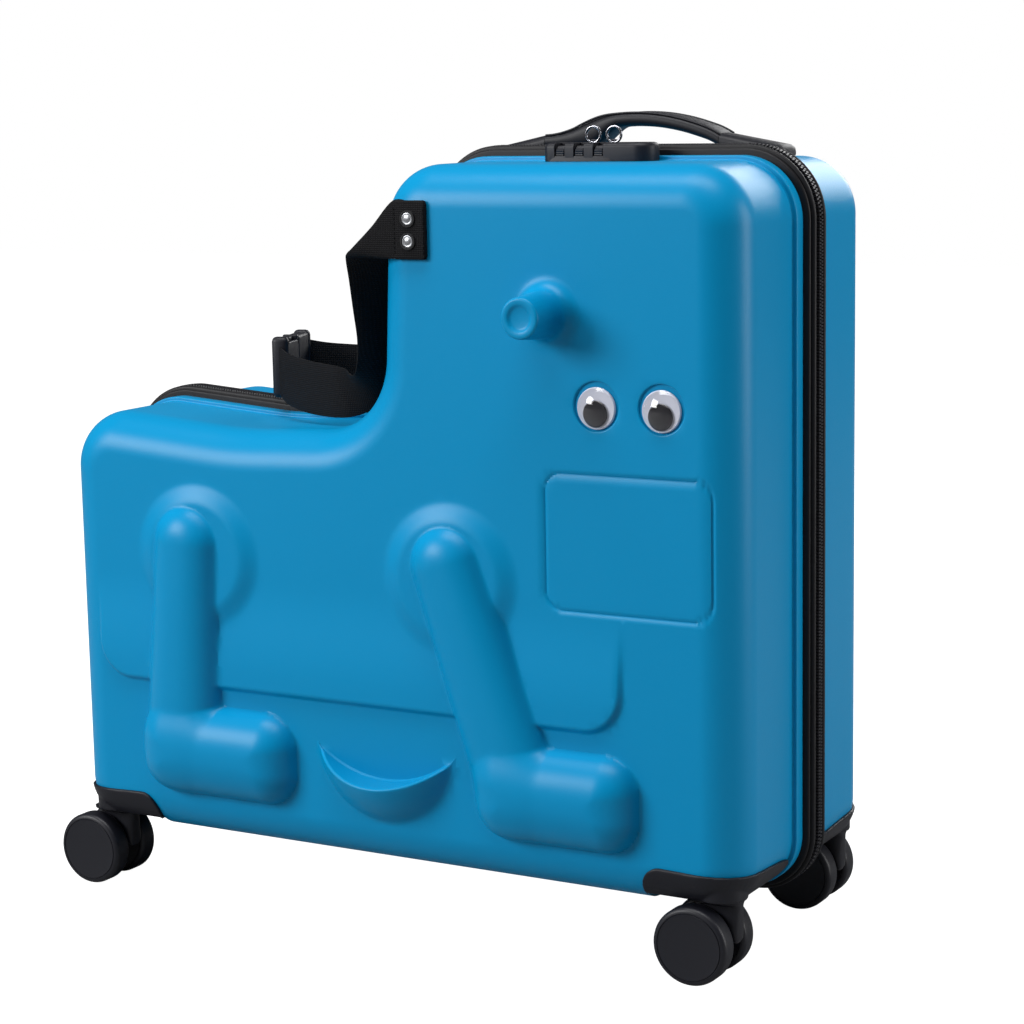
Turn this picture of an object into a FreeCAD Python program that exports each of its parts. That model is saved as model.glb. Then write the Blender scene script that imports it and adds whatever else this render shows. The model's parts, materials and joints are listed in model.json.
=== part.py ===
"""A ride-on suitcase: two moulded half shells, zipped together, on four twin-wheel casters.

Millimetres. X points to the head of the figure, Y away from its near side and Z up.
The origin is on the floor, under the middle of the case.
"""
import FreeCAD, Part
import math
import os
import re

import Sketcher

V = FreeCAD.Vector
X_AXIS = V(1, 0, 0)
Y_AXIS = V(0, 1, 0)
Z_AXIS = V(0, 0, 1)
ORIGIN = V(0, 0, 0)

# Driving dimensions, grouped by the piece that they belong to. A place along the case is measured
# ahead of its tail end or back from its head end, and a height up from its floor or down from its top.
SIZES = {
    # case outline, measured at the lip round its mouth
    "case_length": 515, "case_height": 462.5, "case_depth": 204, "ground_clearance": 42.5,
    "head_length": 255.5, "head_slant": 8, "seat_front_height": 292.5,
    "seat_dip_blend": 20, "seat_dip_drop": 5, "seat_back_rise": 11,
    "bottom_radius": 34, "head_radius": 40, "seat_front_radius": 48, "seat_back_radius": 42,
    # half shells
    "shell_wall": 2.6, "face_radius": 27, "lip_proud": 3, "lip_width": 10,
    # band between the shells
    "band_width": 24, "bead_proud": 4.5, "crown_proud": 8.5, "crown_width": 4, "trim_depth": 4.5,
    "tape_width": 9, "tape_proud": 3, "tape_depth": 3, "parting_gap": 0.3,
    "teeth_width": 3.6, "teeth_proud": 4, "hinge_bottom": 53.5, "hinge_length": 166, "hinge_thick": 1.2,
    # lining
    "lining_thick": 1.2, "soft_gap": 0.3, "lining_mouth": 6,
    # relief of the figure: half widths and heights above the face
    "leg_half": 29, "leg_rise": 17, "foot_half": 31, "foot_rise": 21, "haunch_half": 50, "haunch_rise": 5,
    "back_hip_ahead": 107.5, "back_heel_ahead": 97.5, "back_toe_ahead": 158.5, "back_haunch_ahead": 114.5,
    "front_hip_back": 204.5, "front_heel_back": 154.5, "front_toe_back": 101.5, "front_haunch_back": 203.5,
    "hip_height": 206, "foot_height": 65.5, "haunch_height": 199.5,
    "belly_ahead": 27.5, "belly_back": 80.5, "belly_bottom": 108.5, "belly_top": 287.5, "belly_rise": 3.4,
    "belly_radius": 28,
    "step_back": 255.5, "step_height": 84.5, "step_radius": 62, "step_rise": 27, "step_scoop": 80,
    "step_scoop_height": 141.5,
    "knob_back": 130.5, "knob_drop": 93, "knob_base": 44, "knob_end": 25, "knob_waist": 29, "knob_length": 35,
    "knob_flare": 7, "knob_dish": 1.6, "knob_rim": 2.4,
    "panel_back": 76.5, "panel_drop": 233.5, "panel_width": 118, "panel_height": 89, "panel_radius": 13,
    "panel_depth": 1.2,
    # googly eyes
    "tail_eye_back": 97.5, "head_eye_back": 53.5, "eye_drop": 149.5, "eye_size": 26, "eye_seat": 30,
    "eye_seat_depth": 1.4, "eye_plate": 1.6, "eye_rim": 2.2, "eye_dome_rise": 3.2, "eye_dome_wall": 0.8,
    "pupil_size": 16.6, "pupil_thick": 1.2, "pupil_drop": 3.2, "pupil_gap": 0.4,
    # casters
    "swivel_head_inset": 23.5, "swivel_tail_inset": 24.5, "swivel_face_inset": 19, "wheel_size": 50,
    "wheel_width": 14.6, "wheel_chamfer": 1.6, "wheel_dish": 0.8, "wheel_rim": 4, "caster_trail": 13,
    "fork_thick": 13.6, "wheel_gap": 0.6, "axle_size": 6, "axle_fit": 0.06, "axle_cover": 2.4,
    "well_radius": 47, "well_depth": 14.5, "fork_top_size": 30, "fork_top_thick": 2.2, "fork_boss": 20,
    "fork_gap": 0.4, "stem_size": 10, "stem_fit": 0.06, "plate_thick": 4, "arm_thick": 3, "arm_reach": 46,
    "arm_rise": 29.5, "end_arm_rise": 25, "end_arm_reach": 60, "arm_wrap": 16, "arm_corner": 7,
    "screw_size": 4, "screw_head": 8, "screw_head_thick": 2.4, "screw_spread": 20, "screw_inboard": 15,
    "screw_fit": 0.1,
    # carry handle
    "handle_y": 35, "handle_width": 26, "handle_tail_inset": 3, "handle_head_back": 29.5,
    "handle_tail_length": 54, "handle_head_length": 43, "handle_tail_rise": 5, "handle_head_rise": 8,
    "seam_rise": 16, "seam_gap": 0.3, "grip_thick": 9.5, "grip_rise": 30, "grip_chamfer": 3,
    # combination lock
    "lock_back": 129, "lock_y": -27, "lock_length": 75, "lock_width": 23, "lock_height": 10, "lock_corner": 5,
    "dial_size": 9, "dial_width": 6.4, "dial_pitch": 13.6, "dial_first_offset": 25.5,
    "dial_window": 0.4, "dial_inset": 4.7, "rod_size": 2.4, "rod_fit": 0.06, "key_offset": 16.5, "key_size": 9,
    "key_depth": 5, "key_proud": 0.6, "key_fit": 0.06, "key_slot": 1.4, "key_slot_length": 5.6,
    "button_offset": 28, "button_length": 5, "button_width": 8, "button_travel": 4, "button_proud": 1.6,
    "button_depth": 4, "button_gap": 0.3,
    # zip sliders and pull rings
    "slider_tail_back": 150.5, "slider_head_back": 135.5, "slider_length": 10, "slider_width": 7.6,
    "slider_height": 2.4, "slider_lift": 0.3, "loop_length": 3.6, "loop_wall": 1, "ring_size": 12,
    "ring_wire": 1.8, "ring_gap": 0.35,
    # belt
    "belt_width": 36, "belt_thick": 1.8, "tab_inset": 29, "tab_drop": 43, "tab_length": 24, "tab_gap": 0.3,
    "rivet_head": 8.6, "rivet_head_thick": 2, "rivet_size": 4, "rivet_pitch": 14, "rivet_fit": 0.1,
    "buckle_reach": 126, "buckle_lift": 27.5, "buckle_width": 42, "buckle_thick": 12, "buckle_length": 30,
    "buckle_gap": 0.3, "prong_length": 12, "prong_width": 10, "prong_thick": 5, "prong_room": 1.4,
    # every cut runs this far past the piece that it cuts
    "overrun": 5,
}

doc = FreeCAD.newDocument("RideOnSuitcase")
sheet = doc.addObject("Spreadsheet::Sheet", "Sizes")
for row, (alias, value) in enumerate(SIZES.items(), start=1):
    sheet.set("A%d" % row, alias)
    sheet.set("B%d" % row, str(value))
    sheet.setAlias("B%d" % row, alias)
doc.recompute()


class Sizes:
    """The sheet's numbers, read by alias."""

    def __getattr__(self, alias):
        return float(getattr(sheet, alias))


s = Sizes()
sub_parts = []


def formula(text):
    """Points each size named in a formula at its cell of the sheet."""
    def cell(word):
        return "Sizes." + word.group() if word.group() in SIZES else word.group()

    return re.sub(r"[a-z_]+", cell, text)


def number(text):
    """The value of a formula, for a first guess that the bound formula then holds."""
    return float(sheet.evalExpression(formula(text)))


def place(piece, x="0", y="0", z="0", axis=Z_AXIS, turn=0):
    """Puts a piece at a place given in formulas, turned about an axis."""
    piece.Placement = FreeCAD.Placement(ORIGIN, FreeCAD.Rotation(axis, turn))
    for side, text in zip("xyz", (x, y, z)):
        piece.setExpression("Placement.Base." + side, formula(text))
    return piece


def primitive(kind, name, sizes, **where):
    """A Part primitive whose sizes are formulas."""
    piece = doc.addObject("Part::" + kind, name)
    for side, text in sizes.items():
        piece.setExpression(side, formula(text))
    return place(piece, **where)


def fused(name, pieces):
    """Several pieces as one."""
    whole = doc.addObject("Part::MultiFuse", name)
    whole.Shapes = pieces
    return whole


def cut(name, base, tools):
    """The base with one tool, or with several tools together, taken out."""
    whole = doc.addObject("Part::Cut", name)
    whole.Base = base
    whole.Tool = tools[0] if len(tools) == 1 else fused(name + "_tools", tools)
    return whole


def node(piece, name):
    """Marks a finished object as a sub-part of the case."""
    piece.Label = name
    sub_parts.append(piece)
    return piece


def feature(name, shape):
    """A sub-part whose form neither a sketch nor a primitive gives."""
    piece = doc.addObject("Part::Feature", name)
    piece.Shape = shape
    piece.Placement = FreeCAD.Placement()
    return node(piece, name)


def polygon_sketch(body, role, corners):
    """A closed outline on one of the body's own planes, each corner held by two formulas."""
    sketch = body.newObject("Sketcher::SketchObject", body.Name + "_outline")
    plane = next(item for item in body.Origin.OriginFeatures if item.Role == role)
    sketch.AttachmentSupport = [(plane, "")]
    sketch.MapMode = "FlatFace"
    points = [V(number(across), number(up), 0) for across, up in corners]
    for index, point in enumerate(points):
        sketch.addGeometry(Part.LineSegment(point, points[(index + 1) % len(points)]), False)
    for index in range(len(points)):
        sketch.addConstraint(Sketcher.Constraint("Coincident", index, 2, (index + 1) % len(points), 1))
    for index, (across, up) in enumerate(corners):
        for kind, text in (("DistanceX", across), ("DistanceY", up)):
            held = sketch.addConstraint(Sketcher.Constraint(kind, -1, 1, index, 1, number(text)))
            sketch.setExpression("Constraints[%d]" % held, formula(text))
    return sketch


def turned(name, corners, **where):
    """A body turned about the Y axis: each corner is a radius and a place along Y."""
    body = doc.addObject("PartDesign::Body", name)
    sketch = polygon_sketch(body, "XY_Plane", corners)
    turn = body.newObject("PartDesign::Revolution", name + "_turn")
    turn.Profile = sketch
    turn.ReferenceAxis = (sketch, ["V_Axis"])
    turn.Angle = 360
    return place(body, **where)


def padded(name, role, corners, length, **where):
    """A body whose outline is pulled up to both sides of its plane."""
    body = doc.addObject("PartDesign::Body", name)
    pad = body.newObject("PartDesign::Pad", name + "_pad")
    pad.Profile = polygon_sketch(body, role, corners)
    pad.setExpression("Length", formula(length))
    pad.Midplane = True
    return place(body, **where)


def box_between(low, high):
    """A box given by two opposite corners."""
    return Part.makeBox(high.x - low.x, high.y - low.y, high.z - low.z, low)


def mirrored(shape):
    """The same shape on the far side of the parting plane."""
    return shape.mirror(ORIGIN, Y_AXIS)


# Places that several pieces share, on the near half
tail_x = -s.case_length / 2
head_x = s.case_length / 2
floor_z = s.ground_clearance
top_z = floor_z + s.case_height
head_back_x = head_x - s.head_length
head_foot_x = head_back_x - s.head_slant
seat_z = floor_z + s.seat_front_height
face_y = -s.case_depth / 2
mouth_y = -s.band_width / 2
crown_y = -s.tape_width / 2 - s.crown_width
tape_y = -s.tape_width / 2
parting_y = -s.parting_gap / 2
main_top = top_z - s.lip_proud
well_top = floor_z + s.well_depth
swivel_y = face_y + s.swivel_face_inset
swivels = {"head": head_x - s.swivel_head_inset, "tail": tail_x + s.swivel_tail_inset}
eyes = {"tail": head_x - s.tail_eye_back, "head": head_x - s.head_eye_back}
eye_z = top_z - s.eye_drop
tab_x = head_back_x + s.tab_inset
tab_z = top_z - s.tab_drop
rivet_heights = [tab_z + s.rivet_pitch / 2, tab_z - s.rivet_pitch / 2]


# How far along the seat, from its front, its lowest place is
seat_dip_share = 0.4334


def case_corners():
    """The corners of the case outline at the lip: place along X, height, radius."""
    dip_x = head_foot_x + seat_dip_share * (tail_x - head_foot_x)
    dip_z = seat_z - s.seat_dip_drop
    front_slope = math.atan(s.seat_dip_drop / (head_foot_x - dip_x))
    back_slope = math.atan(s.seat_back_rise / (dip_x - tail_x))
    dip_radius = s.seat_dip_blend / math.tan((front_slope + back_slope) / 2)
    return [
        (tail_x, floor_z, s.bottom_radius),
        (head_x, floor_z, s.bottom_radius),
        (head_x, top_z, s.head_radius),
        (head_back_x, top_z, s.head_radius),
        (head_foot_x, seat_z, s.seat_front_radius),
        (dip_x, dip_z, dip_radius),
        (tail_x, dip_z + s.seat_back_rise, s.seat_back_radius),
    ]


def inset_corners(corners, inset):
    """The outline's corners after every side has moved inwards; a negative inset moves it out."""
    moved = []
    count = len(corners)
    for index in range(count):
        before, here, after = corners[index - 1], corners[index], corners[(index + 1) % count]
        way_in = V(here[0] - before[0], here[1] - before[1], 0).normalize()
        way_out = V(after[0] - here[0], after[1] - here[1], 0).normalize()
        bend = way_in.cross(way_out).z
        shift = (way_out - way_in).multiply(inset / bend)
        radius = here[2] - inset if bend > 0 else here[2] + inset
        moved.append((here[0] + shift.x, here[1] + shift.y, radius))
    return moved


def outline_wire(corners, y):
    """A closed wire of straight sides and round corners at one place along Y."""
    points = [V(x, y, z) for x, z, radius in corners]
    edges = []
    tangents = []
    for index, (x, z, radius) in enumerate(corners):
        to_before = (points[index - 1] - points[index]).normalize()
        to_after = (points[(index + 1) % len(points)] - points[index]).normalize()
        half = to_before.getAngle(to_after) / 2
        reach = radius / math.tan(half)
        middle = (to_before + to_after).normalize() * (radius / math.sin(half) - radius)
        here = points[index]
        tangents.append((here + to_before * reach, here + middle, here + to_after * reach))
    for index, (start, middle, end) in enumerate(tangents):
        edges.append(Part.Arc(start, middle, end).toShape())
        edges.append(Part.LineSegment(end, tangents[(index + 1) % len(tangents)][0]).toShape())
    return Part.Wire(edges)


def case_slab(inset, near, far):
    """The case outline, moved inwards, filled from one place along Y to another."""
    wire = outline_wire(inset_corners(case_corners(), inset), near)
    return Part.Face(wire).extrude(V(0, far - near, 0))


def rounded_slab(inset, near, far, radius):
    """A slab whose near edge is rounded all the way round."""
    slab = case_slab(inset, near, far)
    front = min(slab.Faces, key=lambda face: abs(face.CenterOfMass.y - near))
    return slab.makeFillet(radius, front.Edges)


def capsule(start, end, radius):
    """A round bar with ball ends."""
    way = end - start
    bar = Part.makeCylinder(radius, way.Length, start, way)
    return bar.fuse([Part.makeSphere(radius, start), Part.makeSphere(radius, end)]).removeSplitter()


def swell(half, rise):
    """The radius of a round form that stands out by its rise over a half width, and how deep it sits."""
    radius = (half * half + rise * rise) / (2 * rise)
    return radius, radius - rise


def half_solid(inset, far):
    """The form of the near half, moved inwards all over, from its rounded face to a place along Y."""
    return rounded_slab(s.lip_proud + inset, face_y + inset, far, s.face_radius - inset)


def well(x, grow, top):
    """The round space under a corner in which a caster turns."""
    return Part.makeCylinder(s.well_radius + grow, top + s.overrun, V(x, swivel_y, -s.overrun))


def limbs(thin):
    """Legs, feet and haunches, or their hollow insides a wall's thickness smaller."""
    leg_radius, leg_sink = swell(s.leg_half, s.leg_rise)
    foot_radius, foot_sink = swell(s.foot_half, s.foot_rise)
    haunch_radius, haunch_sink = swell(s.haunch_half, s.haunch_rise)
    forms = []
    hip_z = floor_z + s.hip_height
    foot_z = floor_z + s.foot_height
    haunch_z = floor_z + s.haunch_height
    back = [tail_x + s.back_hip_ahead, tail_x + s.back_heel_ahead, tail_x + s.back_toe_ahead,
            tail_x + s.back_haunch_ahead]
    front = [head_x - s.front_hip_back, head_x - s.front_heel_back, head_x - s.front_toe_back,
             head_x - s.front_haunch_back]
    for hip_x, heel_x, toe_x, haunch_x in (back, front):
        hip = V(hip_x, face_y + leg_sink, hip_z)
        ankle = V(heel_x, face_y + leg_sink, foot_z)
        heel = V(heel_x, face_y + foot_sink, foot_z)
        toe = V(toe_x, face_y + foot_sink, foot_z)
        forms.append(capsule(hip, ankle, leg_radius - thin))
        forms.append(capsule(heel, toe, foot_radius - thin))
        forms.append(Part.makeSphere(haunch_radius - thin, V(haunch_x, face_y + haunch_sink, haunch_z)))
    return forms


def footstep(thin):
    """The crescent footrest: a ball form scooped out from above."""
    step_x = head_x - s.step_back
    centre = V(step_x, face_y + s.step_radius - s.step_rise, floor_z + s.step_height)
    ball = Part.makeSphere(s.step_radius - thin, centre)
    scoop_start = V(step_x, face_y - s.case_depth, floor_z + s.step_scoop_height)
    scoop = Part.makeCylinder(s.step_scoop + thin, 2 * s.case_depth, scoop_start, Y_AXIS)
    return ball.cut(scoop)


def knob(thin, root):
    """The flared knob with a dished end, turned about a line along Y."""
    knob_x = head_x - s.knob_back
    knob_z = top_z - s.knob_drop
    tip = face_y - s.knob_length
    base = s.knob_base / 2 - thin
    waist = s.knob_waist / 2 - thin
    end = s.knob_end / 2 - thin
    floor = tip + s.knob_dish + thin
    bend = (base - waist) * (1 - math.sqrt(0.5))

    def at(radius, y):
        return V(knob_x + radius, y, knob_z)

    flare_low = at(base, face_y + thin)
    flare_high = at(waist, face_y - s.knob_flare)
    flare_mid = at(waist + bend, face_y + thin - (s.knob_flare + thin) * (1 - math.sqrt(0.5)))
    corners = [at(0, root), at(base, root), flare_low]
    edges = [Part.LineSegment(a, b).toShape() for a, b in zip(corners, corners[1:])]
    edges.append(Part.Arc(flare_low, flare_mid, flare_high).toShape())
    if thin:
        rest = [flare_high, at(end, floor), at(0, floor), at(0, root)]
    else:
        inner = end - s.knob_rim
        rest = [flare_high, at(end, tip), at(inner, tip), at(inner - s.knob_dish, floor)]
        rest += [at(0, floor), at(0, root)]
    edges += [Part.LineSegment(a, b).toShape() for a, b in zip(rest, rest[1:])]
    return Part.Face(Part.Wire(edges)).revolve(V(knob_x, 0, knob_z), Y_AXIS, 360)


def belly(root):
    """The raised belly panel, which fades into the face towards the seat."""
    left, right = tail_x + s.belly_ahead, head_x - s.belly_back
    low, high = floor_z + s.belly_bottom, floor_z + s.belly_top
    side = [V(left, root, low), V(left, face_y - s.belly_rise, low), V(left, face_y, high), V(left, root, high)]
    wedge = Part.Face(Part.makePolygon(side + side[:1])).extrude(V(right - left, 0, 0))
    corners = [(left, low, s.belly_radius), (right, low, s.belly_radius), (right, high, s.panel_radius),
               (left, high, s.panel_radius)]
    window = Part.Face(outline_wire(corners, root)).extrude(V(0, -s.case_depth, 0))
    return wedge.common(window)


def label_recess():
    """The shallow panel beside the eyes' cheek."""
    panel_x = head_x - s.panel_back
    panel_z = top_z - s.panel_drop
    left, right = panel_x - s.panel_width / 2, panel_x + s.panel_width / 2
    low, high = panel_z - s.panel_height / 2, panel_z + s.panel_height / 2
    corners = [(x, z, s.panel_radius) for x, z in ((left, low), (right, low), (right, high), (left, high))]
    return Part.Face(outline_wire(corners, face_y + s.panel_depth)).extrude(V(0, -s.overrun, 0))


def screw_places(x):
    """Where the two screws of a caster stand, side by side on the inboard side of the swivel."""
    inboard = x - math.copysign(s.screw_inboard, x)
    return [V(inboard, swivel_y + count * s.screw_spread, 0) for count in (0, 1)]


def near_shell():
    """The near half shell with its lip, its relief and the wells over its casters."""
    root = face_y + s.shell_wall / 2
    deep = face_y + s.shell_wall + s.overrun
    reach = s.case_length
    skin = box_between(V(-reach, -reach, 0), V(reach, root, reach + reach))
    inside = box_between(V(-reach, -reach, 0), V(reach, deep, reach + reach))
    outer = half_solid(0, mouth_y).fuse([case_slab(0, mouth_y - s.lip_width, mouth_y)])
    raised = [form.common(skin) for form in limbs(0) + [footstep(0)]]
    outer = outer.fuse(raised + [knob(0, root), belly(root)])
    hollows = [form.common(inside) for form in limbs(s.shell_wall) + [footstep(s.shell_wall)]]
    casings = [well(x, s.shell_wall, well_top + s.shell_wall) for x in swivels.values()]
    cavity = half_solid(s.shell_wall, mouth_y + s.overrun).cut(casings)
    tools = [cavity, knob(s.shell_wall, deep), label_recess()] + hollows
    tools += [well(x, 0, well_top) for x in swivels.values()]
    seat = V(0, s.eye_seat_depth, 0)
    for x in eyes.values():
        tools.append(Part.makeCylinder(s.eye_seat / 2, s.overrun, V(x, face_y, eye_z) + seat, -Y_AXIS))
    for z in rivet_heights:
        start = V(tab_x, face_y - s.overrun, z)
        tools.append(Part.makeCylinder(s.rivet_size / 2 + s.rivet_fit, s.overrun * 3, start, Y_AXIS))
    for x in swivels.values():
        for spot in screw_places(x):
            hole = spot + V(0, 0, well_top - s.overrun)
            tools.append(Part.makeCylinder(s.screw_size / 2 + s.screw_fit, s.overrun * 3, hole))
    return outer.cut(tools).removeSplitter()


def near_lining():
    """The cloth lining, a little off the inside of the near shell and cut out round the caster wells."""
    far = mouth_y - s.lining_mouth
    outside = s.shell_wall + s.soft_gap
    sheet_form = half_solid(outside, far).cut(half_solid(outside + s.lining_thick, far + s.overrun))
    top = well_top + s.shell_wall + s.screw_head_thick + s.soft_gap
    return sheet_form.cut([well(x, outside, top) for x in swivels.values()])


def band_ring(proud, depth, near, far):
    """A ring that follows the case outline, proud of the lip and as deep as given inside it."""
    hole = case_slab(depth, near - s.overrun, far + s.overrun)
    return case_slab(-proud, near, far).cut(hole)


def near_trim():
    """The double-bead edging on the near shell's mouth."""
    bead = band_ring(s.bead_proud, s.trim_depth, mouth_y, crown_y)
    crown = band_ring(s.crown_proud, s.trim_depth, crown_y, tape_y)
    return bead.fuse(crown).removeSplitter()


def near_tape():
    """The near zip tape with its row of teeth."""
    tape = band_ring(s.tape_proud, s.tape_depth, tape_y, parting_y)
    teeth = band_ring(s.teeth_proud, s.tape_depth, -s.teeth_width / 2, parting_y)
    return tape.fuse(teeth).removeSplitter()


shell = near_shell()
feature("front_shell", shell)
feature("rear_shell", mirrored(shell))
lining = near_lining()
feature("front_lining", lining)
feature("rear_lining", mirrored(lining))
trim = near_trim()
feature("front_edge_trim", trim)
feature("rear_edge_trim", mirrored(trim))
tape = near_tape()
feature("front_zip_tape", tape)
feature("rear_zip_tape", mirrored(tape))

# The cloth hinge lies in the groove between the two crowns at the tail end
hinge = primitive("Box", "hinge_tape", {
    "Length": "hinge_thick", "Width": "tape_width - 2 * soft_gap", "Height": "hinge_length",
}, x="-case_length / 2 - crown_proud", y="-tape_width / 2 + soft_gap", z="ground_clearance + hinge_bottom")
node(hinge, "hinge_tape")


# Casters
def arm_regions(x):
    """The two stretches of the shell's corner that a caster bracket covers, as solids."""
    way = math.copysign(1, x)
    low = well_top - s.plate_thick
    inner = x - way * s.arm_reach
    outer = way * s.case_length
    left, right = min(inner, outer), max(inner, outer)
    high = floor_z + s.arm_rise
    side = [(x, z, s.arm_corner) for x, z in ((left, low), (right, low), (right, high), (left, high))]
    outside = face_y - 2 * s.arm_thick
    near_arm = Part.Face(outline_wire(side, outside)).extrude(V(0, face_y + s.arm_wrap - outside, 0))
    end_x = way * (s.case_length / 2 - s.arm_wrap)
    low_corner = V(min(end_x, outer), -s.case_depth, low)
    high_corner = V(max(end_x, outer), swivel_y + s.end_arm_reach, floor_z + s.end_arm_rise)
    end_arm = box_between(low_corner, high_corner)
    return [near_arm, end_arm]


def near_bracket(x):
    """A caster bracket: two arms that hug the corner and a plate in the well, bored for the stem."""
    low = well_top - s.plate_thick
    grown = half_solid(-s.arm_thick, mouth_y)
    skin = grown.cut(half_solid(0, mouth_y))
    regions = arm_regions(x)
    arms = skin.common(regions[0].fuse(regions[1]))
    spot = V(x, swivel_y, low)
    plate = Part.makeCylinder(s.well_radius - s.soft_gap, s.plate_thick, spot).common(grown)
    tools = [Part.makeCylinder(s.stem_size / 2 + s.stem_fit, s.overrun * 2, spot - V(0, 0, s.overrun))]
    for place_of_screw in screw_places(x):
        start = place_of_screw + V(0, 0, low + s.plate_thick / 4)
        tools.append(Part.makeCylinder(s.screw_size / 2 + s.screw_fit, s.overrun * 2, start))
    return plate.fuse(arms).cut(tools).removeSplitter()


def near_screws():
    """The screws that hold both brackets of the near half, put in from inside the case."""
    screws = []
    for x in swivels.values():
        for spot in screw_places(x):
            seat = well_top + s.shell_wall
            tip = well_top - s.plate_thick / 2
            shank = Part.makeCylinder(s.screw_size / 2, seat - tip, spot + V(0, 0, tip))
            head = Part.makeCylinder(s.screw_head / 2, s.screw_head_thick, spot + V(0, 0, seat))
            screws.append(shank.fuse(head).removeSplitter())
    return Part.makeCompound(screws)


fork_top = "ground_clearance + well_depth - plate_thick - fork_gap"
fork_corners = [
    ("-fork_top_size / 2", fork_top),
    ("fork_top_size / 2", fork_top),
    ("fork_top_size / 2", fork_top + " - fork_top_thick"),
    ("fork_boss / 2 - caster_trail", "wheel_size / 2 - fork_boss / 4"),
    ("fork_boss / 4 - caster_trail", "wheel_size / 2 - fork_boss / 2"),
    ("-fork_boss / 4 - caster_trail", "wheel_size / 2 - fork_boss / 2"),
    ("-fork_boss / 2 - caster_trail", "wheel_size / 2"),
    ("-fork_top_size / 2", fork_top + " - fork_top_thick"),
]
wheel_corners = [
    ("axle_size / 2 + axle_fit", "0"),
    ("wheel_size / 2 - wheel_chamfer", "0"),
    ("wheel_size / 2", "wheel_chamfer"),
    ("wheel_size / 2", "wheel_width - wheel_chamfer"),
    ("wheel_size / 2 - wheel_chamfer", "wheel_width"),
    ("wheel_size / 2 - wheel_rim", "wheel_width"),
    ("wheel_size / 2 - wheel_rim - wheel_dish", "wheel_width - wheel_dish"),
    ("0", "wheel_width - wheel_dish"),
    ("0", "wheel_width - axle_cover"),
    ("axle_size / 2 + axle_fit", "wheel_width - axle_cover"),
]


def caster(half, end, side):
    """One caster: fork with its stem, axle, and a wheel on each side of the fork."""
    name = half + "_" + end
    x = swivel_texts[end]
    y = ("" if side > 0 else "-") + "(case_depth / 2 - swivel_face_inset)"
    blade = padded(name + "_blade", "XZ_Plane", fork_corners, "fork_thick", x=x, y=y)
    cap = primitive("Cylinder", name + "_cap", {"Radius": "fork_top_size / 2", "Height": "fork_top_thick"},
                    x=x, y=y, z=fork_top + " - fork_top_thick")
    stem = primitive("Cylinder", name + "_stem", {
        "Radius": "stem_size / 2", "Height": "plate_thick"}, x=x, y=y, z=fork_top)
    bore = primitive("Cylinder", name + "_bore", {
        "Radius": "axle_size / 2 + axle_fit", "Height": "fork_thick + 2 * overrun"},
        x=x + " - caster_trail", y=y + " + fork_thick / 2 + overrun", z="wheel_size / 2", axis=X_AXIS, turn=90)
    node(cut(name + "_fork", fused(name + "_fork_form", [blade, cap, stem]), [bore]), name + "_fork")
    reach = "(fork_thick / 2 + wheel_width - axle_cover)"
    node(primitive("Cylinder", name + "_axle", {"Radius": "axle_size / 2", "Height": "2 * " + reach},
                   x=x + " - caster_trail", y=y + " + " + reach, z="wheel_size / 2", axis=X_AXIS, turn=90),
         name + "_axle")
    for spot, way in (("outer", side), ("inner", -side)):
        offset = (" + " if way > 0 else " - ") + "(fork_thick / 2 + wheel_gap)"
        wheel = turned(name + "_wheel_" + spot, wheel_corners, x=x + " - caster_trail", y=y + offset,
                       z="wheel_size / 2", turn=0 if way > 0 else 180)
        node(wheel, name + "_wheel_" + spot)


halves = {"front": -1, "rear": 1}
swivel_texts = {"head": "case_length / 2 - swivel_head_inset", "tail": "-case_length / 2 + swivel_tail_inset"}
for end, x in swivels.items():
    bracket = near_bracket(x)
    feature("front_%s_bracket" % end, bracket)
    feature("rear_%s_bracket" % end, mirrored(bracket))
screws = near_screws()
feature("front_caster_screws", screws)
feature("rear_caster_screws", mirrored(screws))
for half, side in halves.items():
    for end in swivels:
        caster(half, end, side)


# Carry handle on the rear half's top
top_text = "ground_clearance + case_height - lip_proud"
handle_tail_text = "case_length / 2 - head_length + handle_tail_inset"
handle_head_text = "case_length / 2 - handle_head_back"
for end, tip, seam in (
    ("tail", handle_tail_text, handle_tail_text + " + handle_tail_length"),
    ("head", handle_head_text, handle_head_text + " - handle_head_length"),
):
    rise = "handle_%s_rise" % end
    wedge = padded("handle_%s_end" % end, "XZ_Plane", [
        (tip, top_text), (seam, top_text), (seam, top_text + " + seam_rise"), (tip, top_text + " + " + rise),
    ], "handle_width", y="handle_y")
    node(wedge, "handle_%s_end" % end)

# Shares of the way along the grip, and of its rise from the seams to its crest
grip_shares = [(0, 0), (0.07, 0.2), (0.15, 0.45), (0.25, 0.7), (0.38, 0.92), (0.52, 1), (0.66, 0.95),
               (0.78, 0.78), (0.88, 0.5), (0.95, 0.22), (1, 0)]


def grip_section(along, up):
    """One eight-sided section of the grip."""
    start = head_back_x + s.handle_tail_inset + s.handle_tail_length + s.seam_gap
    end = head_x - s.handle_head_back - s.handle_head_length - s.seam_gap
    x = start + along * (end - start)
    high = main_top + s.seam_rise + up * (s.grip_rise - s.seam_rise)
    low = high - s.grip_thick
    half = s.handle_width / 2
    c = s.grip_chamfer
    spots = [(-half, low + c), (-half + c, low), (half - c, low), (half, low + c), (half, high - c),
             (half - c, high), (-half + c, high), (-half, high - c)]
    points = [V(x, s.handle_y + y, z) for y, z in spots]
    return Part.makePolygon(points + points[:1])


feature("handle_grip", Part.makeLoft([grip_section(*shares) for shares in grip_shares], True, True))


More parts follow.
